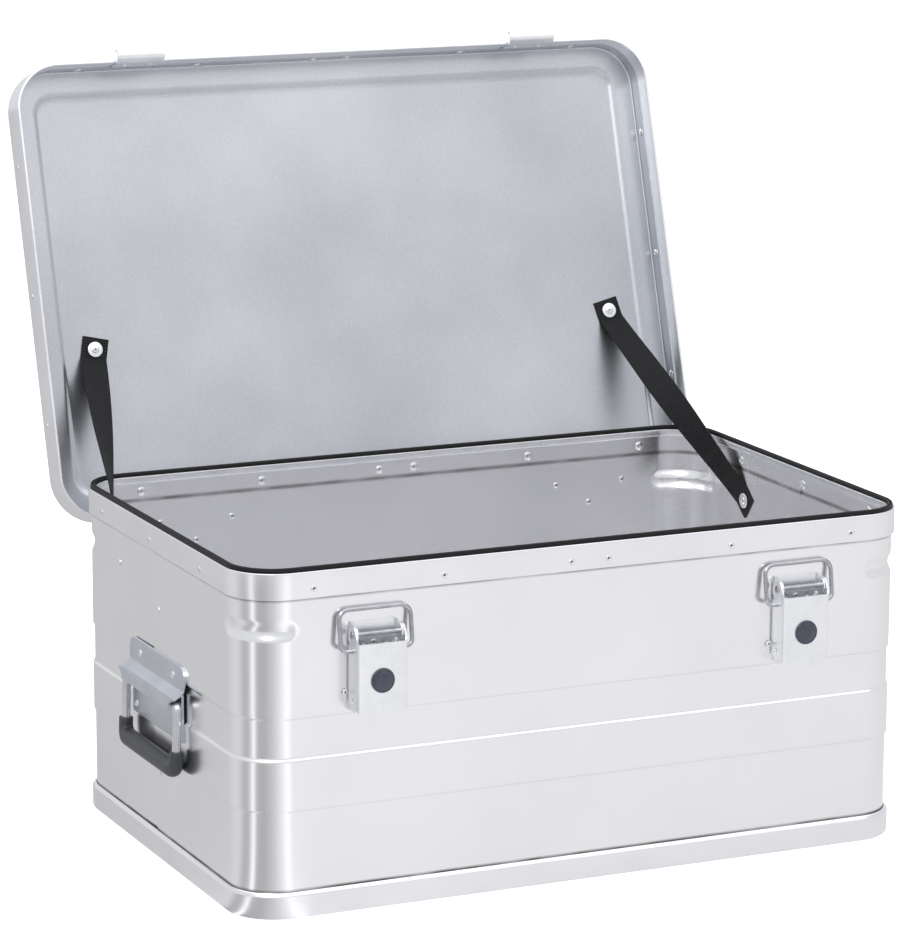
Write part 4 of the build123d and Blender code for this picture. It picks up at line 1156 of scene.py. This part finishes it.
# ------------------------------------------------------------------ check straps
def opened_direction(v):
    """The lid's turn for a direction, which has no place to shift."""
    return opened(np.array(v, float)) - opened(np.zeros(3))


def strap_part(s):
    """Webbing as a thin rounded section carried along a line while it turns from wall to lid.

    The middle line is straight between two flat tabs; the face's direction turns by an eased share
    3t^2 - 2t^3 of the whole angle between the wall's and the lid's, and stays square to the line.
    """
    low = np.array([s * (WALL_X - SHEET - STRAP_T / 2), 86.4, 221.0])
    high = opened(np.array([s * 239.0, 46.7, LID_TOP - STRAP_GAP - STRAP_T / 2]))
    low_face, high_face = np.array([-s, 0, 0.0]), opened_direction((0, 0, -1))
    run = unit(high - low)
    low_way = unit(run - low_face * (run @ low_face))
    high_way = unit(run - high_face * (run @ high_face))
    near, end = 7.5, 10.0
    first, last = low + low_way * near, high - high_way * near
    line = round_corners(
        [low - low_way * end, first, last, high + high_way * end], [0, 5, 5, 0], 6, closed=False
    )
    line = split_line(line, 2.0)
    ahead = unit(np.gradient(line, axis=0))
    reach = unit(last - first)
    share = np.clip((line - first) @ reach / np.linalg.norm(last - first), 0, 1)
    across = np.cross(reach, low_face)
    flat_high = high_face - reach * (high_face @ reach)
    angle = atan2(high_face @ across, low_face @ flat_high)
    turn = (angle * smooth_step(share))[:, None]
    face = low_face * np.cos(turn) + across * np.sin(turn)
    face = np.where((share <= 0)[:, None], low_face, np.where((share >= 1)[:, None], high_face, face))
    face = unit(face - ahead * np.sum(face * ahead, 1, keepdims=True))
    side = np.cross(ahead, face)
    half, thick = 11.25, STRAP_T / 2
    loop = round_corners([(-half, -thick), (half, -thick), (half, thick), (-half, thick)], 0.7, 3)
    loop = split_at(loop, (-8, -4, 0, 4, 8), 0)
    ring = line[:, None] + loop[None, :, :1] * side[:, None] + loop[None, :, 1:] * face[:, None]
    points, faces = grid_part(ring, False, True)
    count = len(loop)
    faces += [list(range(count)), list(range(len(points) - 1, len(points) - 1 - count, -1))]
    along = distances(line)
    uv = np.stack(np.broadcast_arrays(along[:, None], loop[None, :, 0]), -1).reshape(-1, 2) * MM
    return points, faces, uv, first * MM, last * MM


for name, s in SIDES:
    points, faces, uv, first, last = strap_part(s)
    strap = add_piece(
        f"lid_strap_{name}_woven", [(points, faces)], webbing, None, [f"lid_strap_{name}"],
        sharp=60, uv=uv
    )
    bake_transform(strap)

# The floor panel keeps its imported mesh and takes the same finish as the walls.
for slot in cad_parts["bottom_panel"].material_slots:
    slot.material = rolled_sheet

# ------------------------------------------------------------------ stage, light and camera
floor_mesh = bpy.data.meshes.new("studio_floor")
floor_mesh.from_pydata([(-9, -9, 0), (9, -9, 0), (9, 9, 0), (-9, 9, 0)], [], [(0, 1, 2, 3)])
# Matt white paper: it takes a faint shadow and glows a little. What the metal mirrors of it is a painted
# reflection, glowing painted light that is paler at the front right than behind the case.
floor_paper, tree, shader = new_finish("matt_white_paper_floor_with_painted_reflection", Roughness=0.9)
shader.inputs["Base Color"].default_value = linear("#F4F4F4")
shader.inputs["Emission Color"].default_value = (1, 1, 1, 1)
shader.inputs["Emission Strength"].default_value = 0.52
# Painted reflection: round the front left corner the floor, as the metal mirrors it, glows from painted shade
# at the side to painted light at the front, with two narrow brighter bands painted in; the numbers are
# degrees from +X and levels of the painted light. Only what the metal mirrors is changed by it.
corner_at = add_node(
    tree, "ShaderNodeMapping", Vector=add_node(tree, "ShaderNodeTexCoord").outputs["Object"],
    Location=((HALF_X - CORNER) * MM, (HALF_Y - CORNER) * MM, 0)
)
apart = add_node(tree, "ShaderNodeSeparateXYZ", Vector=corner_at.outputs[0])
around = add_node(
    tree, "ShaderNodeMath", {"operation": "ARCTAN2"}, _0=apart.outputs["Y"], _1=apart.outputs["X"]
)
share = add_node(
    tree, "ShaderNodeMapRange", Value=around.outputs[0], From_Min=-pi, From_Max=pi, To_Min=0.0, To_Max=1.0
)
ring = add_node(tree, "ShaderNodeValToRGB", Fac=share.outputs[0])
FLOOR_TINT = (0.90, 0.895, 0.918)
FLOOR_ROUND = (
    (-180, 0.50),
    (-168, 0.62),
    (-160, 1.45),
    (-152, 0.52),
    (-134, 0.50),
    (-112, 0.72),
    (-96, 1.0),
    (-82, 1.35),
    (-70, 0.97),
    (-50, 0.97),
    (-20, 0.93),
    (30, 0.80),
    (80, 0.60),
    (112, 0.66),
    (140, 0.76),
    (160, 0.80),
    (180, 0.50),
)
stops = ring.color_ramp.elements
while len(stops) < len(FLOOR_ROUND):
    stops.new(0.5)
for stop, (angle, level) in zip(stops, FLOOR_ROUND):
    stop.position, stop.color = (angle + 180) / 360, (*(level * tint for tint in FLOOR_TINT), 1)
# Glowing painted reflection: the ring's levels of painted light and shade, seen only by rays that the metal
# mirrors.
painted_floor_reflection = add_node(tree, "ShaderNodeEmission", Color=ring.outputs["Color"], Strength=1.0)
ray = add_node(tree, "ShaderNodeLightPath")
seen_floor = add_node(
    tree, "ShaderNodeMixShader", _0=ray.outputs["Is Glossy Ray"], _1=shader.outputs[0],
    _2=painted_floor_reflection.outputs[0]
)
tree.links.new(seen_floor.outputs[0], tree.nodes["Material Output"].inputs["Surface"])
floor_mesh.materials.append(floor_paper)
floor = bpy.data.objects.new("studio_floor", floor_mesh)
bpy.context.scene.collection.objects.link(floor)

world = bpy.data.worlds.new("studio")
bpy.context.scene.world = world
world.use_nodes = True
backdrop = world.node_tree.nodes["Background"]
backdrop.inputs["Color"].default_value = (0.745, 0.755, 0.78, 1)
backdrop.inputs["Strength"].default_value = 1.0
white = add_node(world.node_tree, "ShaderNodeBackground", Color=(1, 1, 1, 1), Strength=1.0)
straight = add_node(world.node_tree, "ShaderNodeLightPath")
chosen = add_node(
    world.node_tree, "ShaderNodeMixShader", _0=straight.outputs["Is Camera Ray"], _1=backdrop.outputs[0],
    _2=white.outputs[0]
)
world.node_tree.links.new(chosen.outputs[0], world.node_tree.nodes["World Output"].inputs["Surface"])


def softbox(name, place, aim, width, height, power, tint=(1, 1, 1)):
    """Rectangular studio light at a place, turned to face a point; lengths in metres."""
    lamp = bpy.data.lights.new(name, "AREA")
    lamp.shape, lamp.size, lamp.size_y, lamp.energy, lamp.color = "RECTANGLE", width, height, power, tint
    holder = bpy.data.objects.new(name, lamp)
    holder.location = place
    holder.rotation_euler = (Vector(aim) - Vector(place)).to_track_quat("-Z", "Y").to_euler()
    bpy.context.scene.collection.objects.link(holder)


softbox("key_high_left", (-2.0, -2.2, 3.0), (0, 0, 0.2), 1.6, 1.6, 26)
softbox("top", (0.0, -0.3, 2.8), (0, 0, 0.2), 6.4, 6.2, 85, (1.0, 0.985, 0.965))

camera_data = bpy.data.cameras.new("studio_camera")
camera = bpy.data.objects.new("studio_camera", camera_data)
bpy.context.scene.collection.objects.link(camera)
yaw, pitch, roll = 0.4278, 0.2082, 0.0036
ahead = Vector((sin(yaw) * cos(pitch), cos(yaw) * cos(pitch), -sin(pitch)))
right = Vector((cos(yaw), -sin(yaw), 0))
up = right.cross(ahead)
turned_right = right * cos(roll) + up * sin(roll)
turned_up = up * cos(roll) - right * sin(roll)
stand = (-1.39602, -2.98123, 0.99525)
rows = [[turned_right[k], turned_up[k], -ahead[k], stand[k]] for k in range(3)]
camera.matrix_world = Matrix(rows + [[0, 0, 0, 1]])
camera_data.sensor_width = 36
camera_data.lens = 159.74
camera_data.shift_x, camera_data.shift_y = 0.0072, -0.0171
camera_data.clip_end = 50
bpy.context.scene.camera = camera
bpy.context.scene.view_settings.view_transform = "Standard"
# Light leaves the open case only after many reflections between its walls.
bpy.context.scene.cycles.max_bounces = 14
bpy.context.scene.cycles.glossy_bounces = 12
